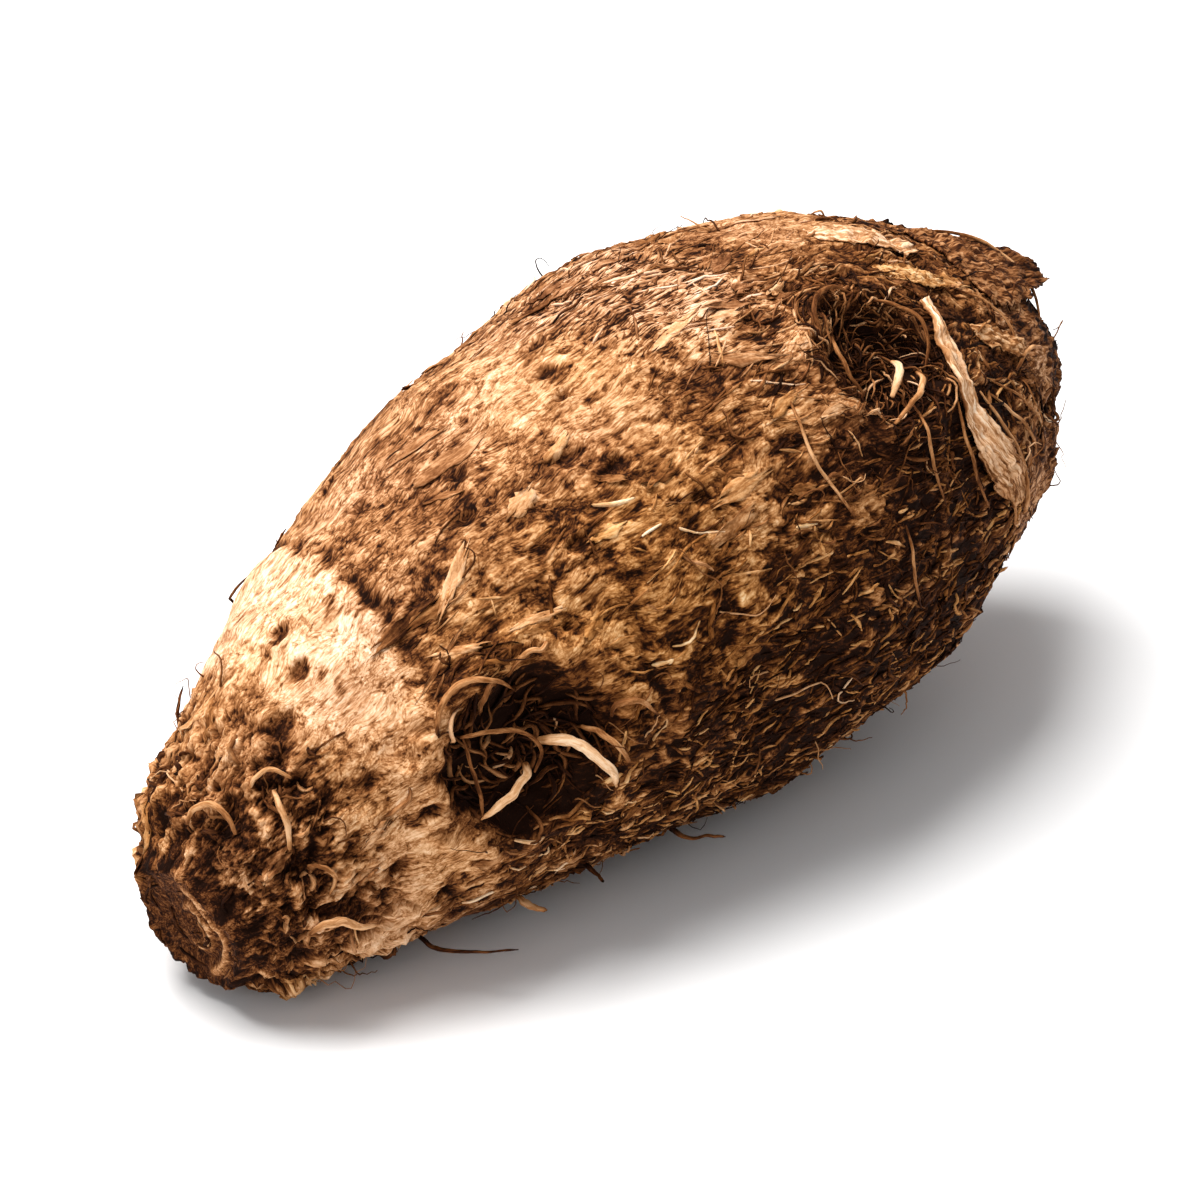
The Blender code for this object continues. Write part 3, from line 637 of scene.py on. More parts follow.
def rods(P, N, W, flat=0.5, sink=0.25):
    """Closed three-sided strands along P (n, k, 3), W (n, k) wide, that end in points.

    Returns vertices, faces and a flat layout with a cell of its own for each strand.
    """
    n, k = W.shape
    T = unit(np.gradient(P, axis=1))
    B = unit(np.cross(N, T))
    U = unit(np.cross(T, B))
    half = 0.5 * W[..., None]
    flat = np.reshape(flat, (-1, 1, 1))
    ring = np.stack([P - B * half - U * half * 2.0 * sink, P + B * half - U * half * 2.0 * sink, P + U * half * 2.0 * flat], 2)
    tips = np.stack([P[:, 0] - T[:, 0] * W[:, :1] * 0.6, P[:, -1] + T[:, -1] * W[:, -1:] * 0.6], 1)
    V = np.concatenate([ring.reshape(-1, 3), tips.reshape(-1, 3)])
    base = (np.arange(n)[:, None] * k + np.arange(k - 1)[None, :]) * 3
    first, last = np.arange(n) * k * 3, np.arange(n) * k * 3 + (k - 1) * 3
    tip0, tip1 = n * k * 3 + 2 * np.arange(n), n * k * 3 + 2 * np.arange(n) + 1
    cols = max(1, int(round(math.sqrt(n / 3.0))))
    rows = int(math.ceil(n / cols))
    cx, cy = (np.arange(n) % cols) / cols, (np.arange(n) // cols) / rows
    cw, ch = 0.94 / cols, 0.90 / rows
    quads, uq, tris, ut = [], [], [], []
    seg = np.arange(k - 1)[None, :]
    for c in range(3):
        d = (c + 1) % 3
        quads.append(np.stack([base + c, base + 3 + c, base + 3 + d, base + d], -1).reshape(-1, 4))
        x0, x1 = cx[:, None] + cw * (seg + 1) / (k + 1), cx[:, None] + cw * (seg + 2) / (k + 1)
        y0, y1 = cy[:, None] + ch * c / 3.0 + 0.0 * seg, cy[:, None] + ch * (c + 1) / 3.0 + 0.0 * seg
        uq.append(np.stack([np.stack([x0, y0], -1), np.stack([x1, y0], -1), np.stack([x1, y1], -1), np.stack([x0, y1], -1)], -2).reshape(-1, 4, 2))
        y0, y1 = cy + ch * c / 3.0, cy + ch * (c + 1) / 3.0
        ym = 0.5 * (y0 + y1)
        xa, xb = cx, cx + cw / (k + 1)
        tris.append(np.stack([tip0, first + c, first + d], -1))
        ut.append(np.stack([np.stack([xa, ym], -1), np.stack([xb, y0], -1), np.stack([xb, y1], -1)], 1))
        xa, xb = cx + cw, cx + cw * k / (k + 1)
        tris.append(np.stack([tip1, last + d, last + c], -1))
        ut.append(np.stack([np.stack([xa, ym], -1), np.stack([xb, y1], -1), np.stack([xb, y0], -1)], 1))
    return V, [np.concatenate(quads), np.concatenate(tris)], [np.concatenate(uq), np.concatenate(ut)]


def on_rods(values):
    """Values along strands (n, k[, 3]) given to every vertex that rods makes."""
    tail = values.shape[2:]
    ring = np.repeat(values[:, :, None], 3, 2).reshape((-1,) + tail)
    return np.concatenate([ring, np.stack([values[:, 0], values[:, -1]], 1).reshape((-1,) + tail)])


def strand_piece(name, P, N, W, tone, hue, length, rng, mat, nodes, flat=0.5, sink=0.25):
    m, k = W.shape
    V, faces, uvs = rods(P, N, W, flat, sink)
    t = np.linspace(0.0, 1.0, k)[None, :]
    own = rng.uniform(-200.0, 200.0, (m, 3))
    flow = own[:, None, :] + np.stack([length[:, None] * t, 0.0 * W, 0.0 * W], -1)
    flow = on_rods(flow)
    cross = np.tile(np.array([[0, -0.5, 0.0], [0, 0.5, 0.0], [0, 0.0, 0.4]]), (m * k, 1)) * np.repeat(W.ravel(), 3)[:, None]
    flow[:m * k * 3] += cross
    ob = make_mesh(name, to_row(V), faces, {"tone": on_rods(tone), "hue": np.clip(on_rods(hue), 0, 1), "flow": flow}, mat, uvs)
    finish_piece(ob, nodes)
    return ob


def turn_aside(f, a0, ang):
    """Round the eyes the fibres turn aside."""
    for ex, ea, size, _ in EYES:
        dx, dy = f["x"] - ex, f["r"] * turn(a0, ea)
        d = np.hypot(dx, dy) / (size * 1.15)
        pull = np.exp(-((d - 0.9) / 0.5) ** 2)
        side = np.arctan2(dy, dx) + PI / 2.0
        side = (side + PI / 2.0) % PI - PI / 2.0
        ang = ang * (1.0 - pull) + side * pull
    return ang


def comb(p, grey):
    """The direction in which the bark's fibres lie, from the corm's length."""
    return 0.80 * fbm(p / 9.0, 2, 202) + 0.55 * noise(p / 4.2, 203) * (0.6 + 0.6 * grey)


def follow(s0, a0, off, length, curl, k, stiff):
    """Paths that follow the combed field from (s0, a0), turned by off and bent by curl."""
    S, A = [s0], [a0]
    first = None
    for i in range(k):
        x = np.interp(S[-1], M_S, M_X)
        r = np.maximum(np.interp(S[-1], M_S, M_R), 2.0)
        d = comb(straight(S[-1], A[-1]), blob(x, A[-1], 9.0, -6.0, 12.0, 42.0, 3.0))
        first = d if first is None else first
        d = turn_aside({"x": x, "r": r}, A[-1], first * stiff + d * (1.0 - stiff)) + off + curl * (i / k - 0.5)
        S.append(np.clip(S[-1] + np.cos(d) * length / k, 0.3, M_LEN - 0.3))
        A.append(A[-1] + np.sin(d) * length / k / r)
    return np.stack(S, 1), np.stack(A, 1)


def make_fibres(mat):
    rng = np.random.default_rng(5)
    s0, a0 = spread(rng, 46000)
    f = fields(s0, a0)
    chance = 0.17 + 0.24 * fbm(f["p"] / 6.0, 2, 201) + 0.16 * f["belly_bark_and_painted_shade"] + 0.20 * f["at_eye2"] + 0.06 * f["grey"] + 0.14 * f["crown"]
    chance = chance - 0.12 * f["upper"] - 0.30 * f["collar"] - 0.10 * f["cream"] - 0.10 * f["eye"] - 0.13 * f["cover"] - 0.10 * f["neck"] - 0.06 * f["ochre"]
    chance = np.where(f["scar"] > 0.02, 0.0, chance) * sstep(s0, R_SCAR + 2.0, R_SCAR + 9.0)
    keep = rng.random(len(s0)) < chance
    s0, a0 = s0[keep], a0[keep]
    f = {k: v[keep] for k, v in f.items()}
    m = len(s0)
    stray = rng.random(m) < 0.26
    off = rng.normal(0.0, 0.30, m) + np.where(stray, rng.normal(0.0, 0.9, m), 0.0) + f["neck"] * rng.normal(0.0, 0.8, m)
    length = np.exp(rng.normal(math.log(3.3), 0.45, m)) * (1.0 + 0.6 * f["crown"] - 0.2 * f["neck"] + 0.7 * f["grey"] + 0.3 * f["top"])
    length = np.clip(length, 1.4, 12.0)
    width = np.clip(rng.normal(0.42, 0.11, m), 0.2, 0.8) * (1.0 - 0.12 * f["upper"])
    broad = rng.random(m) < 0.22
    width = np.where(broad, width * 1.8, width)
    curl = rng.normal(0.0, 0.35, m) + np.where(rng.random(m) < 0.16, rng.normal(0.0, 1.7, m), 0.0)
    k = 5
    S, A = follow(s0, a0, off, length, curl, k, 0.25)
    P, N, g = skin(S.ravel(), A.ravel())
    P, N = P.reshape(m, k + 1, 3), N.reshape(m, k + 1, 3)
    t = np.linspace(0.0, 1.0, k + 1)[None, :]
    arch = rng.uniform(-0.05, 0.20, m)[:, None] * np.sin(PI * t)
    free = np.where(rng.random(m) < 0.08, rng.uniform(0.2, 0.9, m), 0.0)[:, None] * t ** 2.2
    P = P + N * (arch + free + 0.05)[..., None]
    W = width[:, None] * (0.55 + 0.45 * np.sin(PI * np.clip(t * 0.92 + 0.06, 0, 1)) ** 0.7)
    own = rng.normal(0.03, 0.09, m) + np.where(rng.random(m) < 0.22, 0.20, 0.0) - np.where(rng.random(m) < 0.34, 0.20, 0.0)
    own = own * (1.0 + 0.75 * f["belly_bark_and_painted_shade"]) + 0.02 * f["belly_bark_and_painted_shade"]
    own = own + np.where(rng.random(m) < 0.10, 0.26, 0.0) * np.maximum(f["belly_bark_and_painted_shade"], f["at_eye2"])
    tone = g["tone"].reshape(m, k + 1)
    tone = 0.45 * tone + 0.55 * tone.mean(1, keepdims=True) + own[:, None] + 0.04 * np.sin(PI * t)
    tone = np.maximum(tone, 0.05)
    # fibres on the belly are kept darker, as painted shade; round the second eye, as its dark bark
    tone = np.minimum(tone, 0.95 - 0.47 * np.maximum(f["belly_bark_and_painted_shade"], 0.7 * f["at_eye2"])[:, None])
    hue = g["hue"].reshape(m, k + 1) + rng.normal(0.0, 0.15, m)[:, None] + 0.35 * f["belly_bark_and_painted_shade"][:, None]
    quarter = ((A[:, 2] + 2.0 * PI) % (2.0 * PI) * 4.0 / (2.0 * PI)).astype(int)
    for c, name in enumerate(("fibres_top_front", "fibres_under_front", "fibres_under_back", "fibres_top_back")):
        w = quarter == c
        strand_piece(name, P[w], N[w], W[w], tone[w], hue[w], length[w], rng, mat, ["corm"],
                     np.where(broad[w], 0.20, 0.40))
        print(name, int(w.sum()))


def make_hairs(mat):
    """Fine dry root hairs that stand off the bark."""
    rng = np.random.default_rng(23)
    s0, a0 = spread(rng, 5600)
    f = fields(s0, a0)
    chance = 0.05 + 0.12 * fbm(f["p"] / 12.0, 2, 211) - 0.05 * f["upper"] - 0.10 * f["collar"]
    chance = chance + 0.14 * f["eye"] + 0.12 * f["eye_rim"] + 0.08 * f["crown"] + 0.06 * f["crease"] + 0.08 * f["at_eye2"]
    chance = chance + 0.10 * blob(f["x"], a0, 0.0, 130.0, 90.0, 24.0, 3.0)
    chance = np.where(f["scar"] > 0.02, 0.0, chance) * sstep(s0, R_SCAR + 2.0, R_SCAR + 9.0)
    keep = rng.random(len(s0)) < chance
    s0, a0 = s0[keep], a0[keep]
    f = {k: v[keep] for k, v in f.items()}
    m, k = len(s0), 11
    length = np.clip(np.exp(rng.normal(math.log(5.2), 0.45, m)), 2.2, 14.0) * (1.0 - 0.35 * f["eye"])
    ang = rng.normal(0.0, 0.8, m) + np.where(rng.random(m) < 0.35, rng.uniform(-PI, PI, m), 0.0)
    curl = rng.normal(0.0, 1.4, m)
    wave = (rng.uniform(0.1, 0.6, m), rng.uniform(4.0, 10.0, m), rng.uniform(0.0, 6.28, m))
    S, A = path_on(s0, a0, ang, length, curl, k, wave)
    t = np.linspace(0.0, 1.0, k + 1)[None, :]
    P, N, g = skin(S.ravel(), A.ravel())
    P, N = P.reshape(m, k + 1, 3), N.reshape(m, k + 1, 3)
    rise = np.where(rng.random(m) < 0.34, rng.uniform(1.0, 3.4, m), rng.uniform(0.1, 0.8, m))[:, None]
    shape = np.where(rng.random(m)[:, None] < 0.5, np.sin(PI * t * 0.85), t ** 0.8)
    P = P + N * (0.10 + rise * shape)[..., None]
    rad = rng.uniform(0.08, 0.20, m)[:, None] * (1.0 - 0.6 * t)
    tone = np.clip(0.20 + rng.normal(0.0, 0.12, m) + np.where(rng.random(m) < 0.30, 0.30, 0.0), 0.03, 0.8)
    strand_piece("root_hairs", P, N, rad * 2.0, tone[:, None] + 0.0 * t, 0.4 + 0.0 * P[..., 0], length, rng, mat, ["corm"], 0.45, 0.3)
    print("root_hairs", m)


def make_worms(mat):
    """Stout curled rootlet stubs: on the neck, round and in the eyes, and on the scar."""
    rng = np.random.default_rng(31)
    S0, A0, LEN, ANG, CURL, WID, TONE, RISE, DIP = [], [], [], [], [], [], [], [], []

    def add(s, a, ln, ang, curl, wid, tone, rise, dip=0.0):
        for lst, v in zip((S0, A0, LEN, ANG, CURL, WID, TONE, RISE, DIP), (s, a, ln, ang, curl, wid, tone, rise, dip)):
            lst.append(v)

    for _ in range(90):                                   # the neck
        x, a = rng.uniform(-79.0, -60.0), rng.uniform(-PI, PI)
        if x > -66.0 and rng.random() < 0.7:
            continue
        add(s_at(x), a, rng.uniform(2.0, 5.0), rng.uniform(-PI, PI), rng.normal(0.0, 2.0), rng.uniform(0.45, 1.0),
            rng.choice([0.12, 0.25, 0.40, 0.52], p=[0.30, 0.32, 0.26, 0.12]) + rng.normal(0, 0.05), rng.uniform(-0.1, 0.25))
    for k, (ex, ea, size, _) in enumerate(EYES):
        for _ in range((95, 210, 95)[k]):
            th, d = rng.uniform(-PI, PI), size * rng.uniform(0.05, (0.95, 1.25, 1.1)[k])
            x = ex + d * math.cos(th)
            r = float(np.interp(s_at(x), M_S, M_R))
            a = ea + d * math.sin(th) / r
            if k == 1:                                    # strands swirl out round the eye's middle
                ang, curl, ln = th + rng.normal(1.1, 0.55), rng.normal(0.8, 0.9), rng.uniform(2.5, 7.0)
                col = rng.choice([0.08, 0.18, 0.34, 0.62], p=[0.42, 0.32, 0.17, 0.09]) + rng.normal(0, 0.04)
                wide, rise = rng.uniform(0.20, 0.46), rng.uniform(0.1, 1.0)
            else:                                         # loops that follow the hollow
                ang, curl, ln = th + PI / 2.0 + rng.normal(0.0, 0.5), rng.normal(1.2, 1.1), rng.uniform(2.5, 7.5)
                col = rng.choice([0.10, 0.20, 0.34, 0.55], p=[0.46, 0.30, 0.16, 0.08]) + rng.normal(0, 0.04)
                wide, rise = rng.uniform(0.35, 0.85), rng.uniform(0.1, 1.2)
            add(s_at(x), a, ln, ang, curl, wide, col, rise)
    for _ in range(16):                                   # arcs of dry tissue on the scar
        s = rng.uniform(2.5, 9.6)
        add(s, rng.uniform(-PI, PI), rng.uniform(2.0, 6.0), PI / 2.0 + rng.normal(0, 0.10), 0.0, rng.uniform(0.3, 0.6),
            rng.choice([0.10, 0.20, 0.46], p=[0.50, 0.30, 0.20]) + rng.normal(0, 0.04), rng.uniform(-0.05, 0.1))
    for _ in range(110):                                  # a few elsewhere, by the pits and rings
        s, a = spread(rng, 1)
        if -1.2 < float(a[0]) < 0.5 and rng.random() < 0.8:
            continue
        add(float(s[0]), float(a[0]), rng.uniform(2.0, 7.0), rng.normal(0, 0.9), rng.normal(0.0, 1.6), rng.uniform(0.28, 0.6),
            rng.choice([0.14, 0.30, 0.46], p=[0.4, 0.35, 0.25]) + rng.normal(0, 0.05), rng.uniform(0.1, 0.9))
    s0, a0, length, ang, curl, width, tone, rise = (np.array(v, float) for v in (S0, A0, LEN, ANG, CURL, WID, TONE, RISE))
    m, k = len(s0), 12
    wave = (rng.uniform(0.1, 0.5, m), rng.uniform(3.0, 9.0, m), rng.uniform(0.0, 6.28, m))
    S, A = path_on(s0, a0, ang, length, curl, k, wave)
    t = np.linspace(0.0, 1.0, k + 1)[None, :]
    P, N, g = skin(S.ravel(), A.ravel())
    P, N = P.reshape(m, k + 1, 3), N.reshape(m, k + 1, 3)
    P = P + N * (0.12 + rise[:, None] * np.sin(PI * t) ** 1.3)[..., None]
    W = width[:, None] * (0.35 + 0.65 * np.sin(PI * np.clip(t * 0.95 + 0.04, 0, 1)) ** 0.6)
    tone = np.clip(tone[:, None] + 0.10 * np.sin(PI * t) - 0.05, 0.04, 0.95)
    strand_piece("rootlet_stubs", P, N, W, tone, 0.35 + 0.0 * tone, length, rng, mat, ["corm"], 0.55, 0.3)
    print("rootlet_stubs", m)


def make_flakes(mat):
    """Small torn flakes of the papery skin, each a thin closed sheet with lifted edges."""
    rng = np.random.default_rng(41)
    s0, a0 = spread(rng, 3200)
    f = fields(s0, a0)
    chance = 0.12 + 0.16 * fbm(f["p"] / 9.0, 2, 221) - 0.05 * f["upper"] - 0.2 * f["collar"] - 0.6 * f["eye"] - 0.05 * f["belly_bark_and_painted_shade"] + 0.16 * f["crease"]
    chance = np.where((f["scar"] > 0.1) | (f["pit"] > 0.2), 0.0, chance)
    keep = rng.random(len(s0)) < chance
    s0, a0 = s0[keep], a0[keep]
    f = {k: v[keep] for k, v in f.items()}
    m, nu, nv = len(s0), 8, 6
    u = np.linspace(-1.0, 1.0, nu)[None, :, None]
    v = np.linspace(-1.0, 1.0, nv)[None, None, :]
    L = rng.uniform(1.6, 4.6, m)[:, None, None]
    Wd = rng.uniform(0.5, 1.5, m)[:, None, None]
    th = (0.6 * fbm(f["p"] / 10.0, 2, 202) + rng.normal(0.0, 0.35, m))[:, None, None]
    seed = rng.uniform(-99.0, 99.0, m)[:, None, None]
    edge = 1.0 - 0.55 * np.abs(u) ** 1.6
    rag = 1.0 + 0.75 * noise(np.stack(np.broadcast_arrays(u * 2.4 + seed, v * 1.4, seed), -1), 222)
    du = u * L * (1.0 + 0.70 * noise(np.stack(np.broadcast_arrays(v * 2.2 + seed, 0.0 * u, 3.0 * seed), -1), 223))
    dv = v * Wd * edge * rag
    S = np.clip(s0[:, None, None] + du * np.cos(th) - dv * np.sin(th), 0.5, M_LEN - 0.5)
    r = np.maximum(np.interp(S, M_S, M_R), 3.0)
    A = a0[:, None, None] + (du * np.sin(th) + dv * np.cos(th)) / r
    P, N, g = skin(S.ravel(), A.ravel())
    P, N = P.reshape(m, nu, nv, 3), N.reshape(m, nu, nv, 3)
    lift = rng.uniform(0.0, 0.6, m)[:, None, None] * np.clip(u * np.sign(rng.normal(size=m))[:, None, None], 0, 1) ** 2
    curl = rng.uniform(-0.2, 0.2, m)[:, None, None] * np.abs(v) ** 3
    P = P + N * (0.13 + lift + curl + 0.06 * np.sin(6.0 * v + seed))[..., None]
    B = P - N * 0.14
    V = np.concatenate([P.reshape(m, -1, 3), B.reshape(m, -1, 3)], 1)
    i = np.arange(nu - 1)[:, None] * nv
    j = np.arange(nv - 1)[None, :]
    q = np.stack([i + j, i + nv + j, i + nv + j + 1, i + j + 1], -1).reshape(-1, 4)
    n = nu * nv
    rim = np.concatenate([np.arange(nv - 1), np.arange(nu - 1) * nv + nv - 1, (nu - 1) * nv + np.arange(nv - 1, 0, -1), np.arange(nu - 1, 0, -1) * nv])
    nxt = np.roll(rim, -1)
    wall = np.stack([rim, nxt, nxt + n, rim + n], -1)
    one = np.concatenate([q, q[:, ::-1] + n, wall])
    faces = (one[None] + (np.arange(m) * 2 * n)[:, None, None]).reshape(-1, 4)
    own = rng.normal(0.03, 0.07, m)
    base = 0.5 * g["tone"].reshape(m, n) + 0.5 * (f["tone"] + own)[:, None] + 0.5 * own[:, None] + 0.03
    base = np.minimum(base, 0.70)
    # each flake's under face is 0.12 darker than its top: painted shade
    tone = np.concatenate([base, base - 0.12], 1)
    flow = np.stack(np.broadcast_arrays(du + seed * 3.0, dv + seed, seed), -1).reshape(m, n, 3)
    flow = np.concatenate([flow, flow], 1)
    hue = np.repeat(f["hue"] + rng.normal(0, 0.15, m), 2 * n)
    ob = make_mesh("papery_flakes", to_row(V.reshape(-1, 3)), [faces],
                   {"tone": tone.ravel(), "hue": np.clip(hue, 0, 1), "flow": flow.reshape(-1, 3)}, mat)
    finish_piece(ob, ["corm"])
    print("papery_flakes", m)


def tube(pts, rad, sides=6, flat=1.0, seed=0, rough=0.0):
    """A closed tube along pts (n, 3) in mm with radii rad (n)."""
    pts = np.asarray(pts, float)
    n = len(pts)
    T = unit(np.gradient(pts, axis=0))
    ref = np.array([0.0, 0.0, 1.0]) if abs(T[0][2]) < 0.9 else np.array([1.0, 0.0, 0.0])
    B = np.zeros_like(pts)
    b = unit(np.cross(ref, T[0]))
    for i in range(n):                          # carried along without twisting
        b = unit(b - T[i] * np.dot(b, T[i]))
        B[i] = b
    U = np.cross(T, B)
    th = np.linspace(0.0, 2.0 * PI, sides, endpoint=False)
    rr = np.asarray(rad, float)[:, None] * np.ones(sides)[None, :]
    length = np.concatenate([[0.0], np.cumsum(np.linalg.norm(np.diff(pts, axis=0), axis=1))])
    if rough > 0.0:
        q = np.stack([length[:, None] * 0.7 + 0.0 * th, 1.7 * np.cos(th)[None, :] + 0.0 * rr, 1.7 * np.sin(th)[None, :] + 0.0 * rr], -1)
        rr = rr * (1.0 + rough * noise(q + seed * 7.1, 300 + seed))
    V = pts[:, None, :] + B[:, None, :] * (rr * np.cos(th))[..., None] + U[:, None, :] * (rr * flat * np.sin(th))[..., None]
    i = np.arange(n - 1)[:, None] * sides
    j = np.arange(sides)[None, :]
    jn = (j + 1) % sides
    quads = np.stack([i + j, i + jn, i + sides + jn, i + sides + j], -1).reshape(-1, 4)
    V = np.concatenate([V.reshape(-1, 3), pts[:1] - T[:1] * rad[0] * 0.3, pts[-1:] + T[-1:] * rad[-1] * 0.6])
    jj = np.arange(sides)
    last = (n - 1) * sides
    caps = np.concatenate([np.stack([np.full(sides, n * sides), (jj + 1) % sides, jj], -1),
                           np.stack([np.full(sides, n * sides + 1), last + jj, last + (jj + 1) % sides], -1)])
    flow = np.stack([length[:, None] + 0.0 * th, (rr * np.cos(th)), (rr * np.sin(th))], -1).reshape(-1, 3)
    flow = np.concatenate([flow, flow[:1], flow[-1:]]) + seed * 13.7
    return V, [quads, caps], flow


def spline(points, n):
    """n points on a smooth curve through points, evenly by parameter."""
    p = np.asarray(points, float)
    p = np.concatenate([2.0 * p[:1] - p[1:2], p, 2.0 * p[-1:] - p[-2:-1]])
    spans = len(p) - 3
    u = np.linspace(0.0, spans, n)
    k = np.minimum(u.astype(int), spans - 1)
    f = (u - k)[:, None]
    a, b, c, d = p[k], p[k + 1], p[k + 2], p[k + 3]
    return 0.5 * (2.0 * b + (c - a) * f + (2.0 * a - 5.0 * b + 4.0 * c - d) * f ** 2 + (3.0 * b - a - 3.0 * c + d) * f ** 3)


class Pile:
    """Gathers closed shapes into one mesh."""

    def __init__(self):
        self.v, self.q, self.t, self.at, self.n = [], [], [], {}, 0

    def add(self, V, faces, **at):
        for g in faces:
            (self.q if g.shape[1] == 4 else self.t).append(g + self.n)
        self.v.append(V)
        for k, val in at.items():
            val = np.broadcast_to(val, (len(V),) + np.shape(val)[1:]) if np.ndim(val) == 0 else np.asarray(val)
            self.at.setdefault(k, []).append(val)
        self.n += len(V)

    def build(self, name, mat):
        faces = [np.concatenate(g) for g in (self.q, self.t) if g]
        return make_mesh(name, to_row(np.concatenate(self.v)), faces,
                         {k: np.concatenate(v) for k, v in self.at.items()}, mat)


def on_skin(x, deg, h):
    """Point h mm over the corm's plain form, as the CAD rootlets are placed."""
    s, a = np.array([s_at(x)]), np.array([D2R(deg)])
    return (form(s, a) + form_normal(s, a) * h)[0]


ROOTLETS = {
    "rootlet_eye_hook": ([(-40.2, 74.0, 0.9), (-38.6, 75.5, 2.2), (-37.0, 77.0, 3.0), (-35.5, 80.0, 3.5), (-34.8, 83.5, 3.6), (-34.4, 88.5, 3.0), (-34.7, 94.0, 1.0)], 0.95, 0.80, True),
    "rootlet_eye_fork": ([(-43.0, 78.0, 0.8), (-44.1, 79.0, 2.2), (-46.3, 80.5, 3.0), (-49.3, 83.0, 2.7), (-52.3, 83.0, 0.8)], 0.66, 0.72, True),
    "rootlet_eye_arch": ([(-51.4, 52.5, 0.5), (-50.4, 49.5, 1.5), (-48.6, 47.0, 2.0), (-45.6, 46.0, 2.1), (-42.8, 49.0, 1.9), (-40.2, 56.0, 0.6)], 0.50, 0.46, False),
    "rootlet_neck": ([(-75.8, 88.0, 0.4), (-74.6, 84.5, 1.6), (-72.2, 87.0, 2.0), (-70.2, 95.0, 1.9), (-68.0, 102.0, 0.6)], 0.70, 0.64, True),
    "rootlet_low_1": ([(-62.0, 131.0, 0.6), (-61.0, 127.0, 3.2), (-57.5, 122.0, 6.4), (-53.0, 119.0, 9.2)], 0.42, 0.20, False),
    "rootlet_low_2": ([(-47.5, 132.0, 0.5), (-47.0, 131.0, 2.6), (-45.5, 130.0, 4.4)], 0.62, 0.60, True),
    "rootlet_low_3": ([(-36.0, 133.0, 0.5), (-35.6, 131.0, 2.6), (-35.8, 129.0, 4.2)], 0.42, 0.24, False),
    "rootlet_low_4": ([(-21.0, 134.0, 0.5), (-20.0, 132.0, 2.8), (-17.0, 130.0, 4.2), (-14.5, 131.0, 5.0)], 0.42, 0.30, False),
    "rootlet_back_1": ([(-60.0, -96.0, 0.5), (-59.5, -93.0, 3.2), (-57.0, -88.0, 5.0), (-53.5, -85.0, 5.6)], 0.40, 0.22, False),
    "rootlet_back_2": ([(-16.0, -119.0, 0.8), (-13.0, -115.0, 3.2), (-9.0, -115.0, 3.2), (-6.0, -121.0, 0.9)], 0.58, 0.66, True),
    "rootlet_back_3": ([(22.0, -112.0, 0.5), (22.5, -109.0, 3.0), (25.0, -105.0, 4.6), (29.0, -103.0, 4.8)], 0.42, 0.28, False),
}
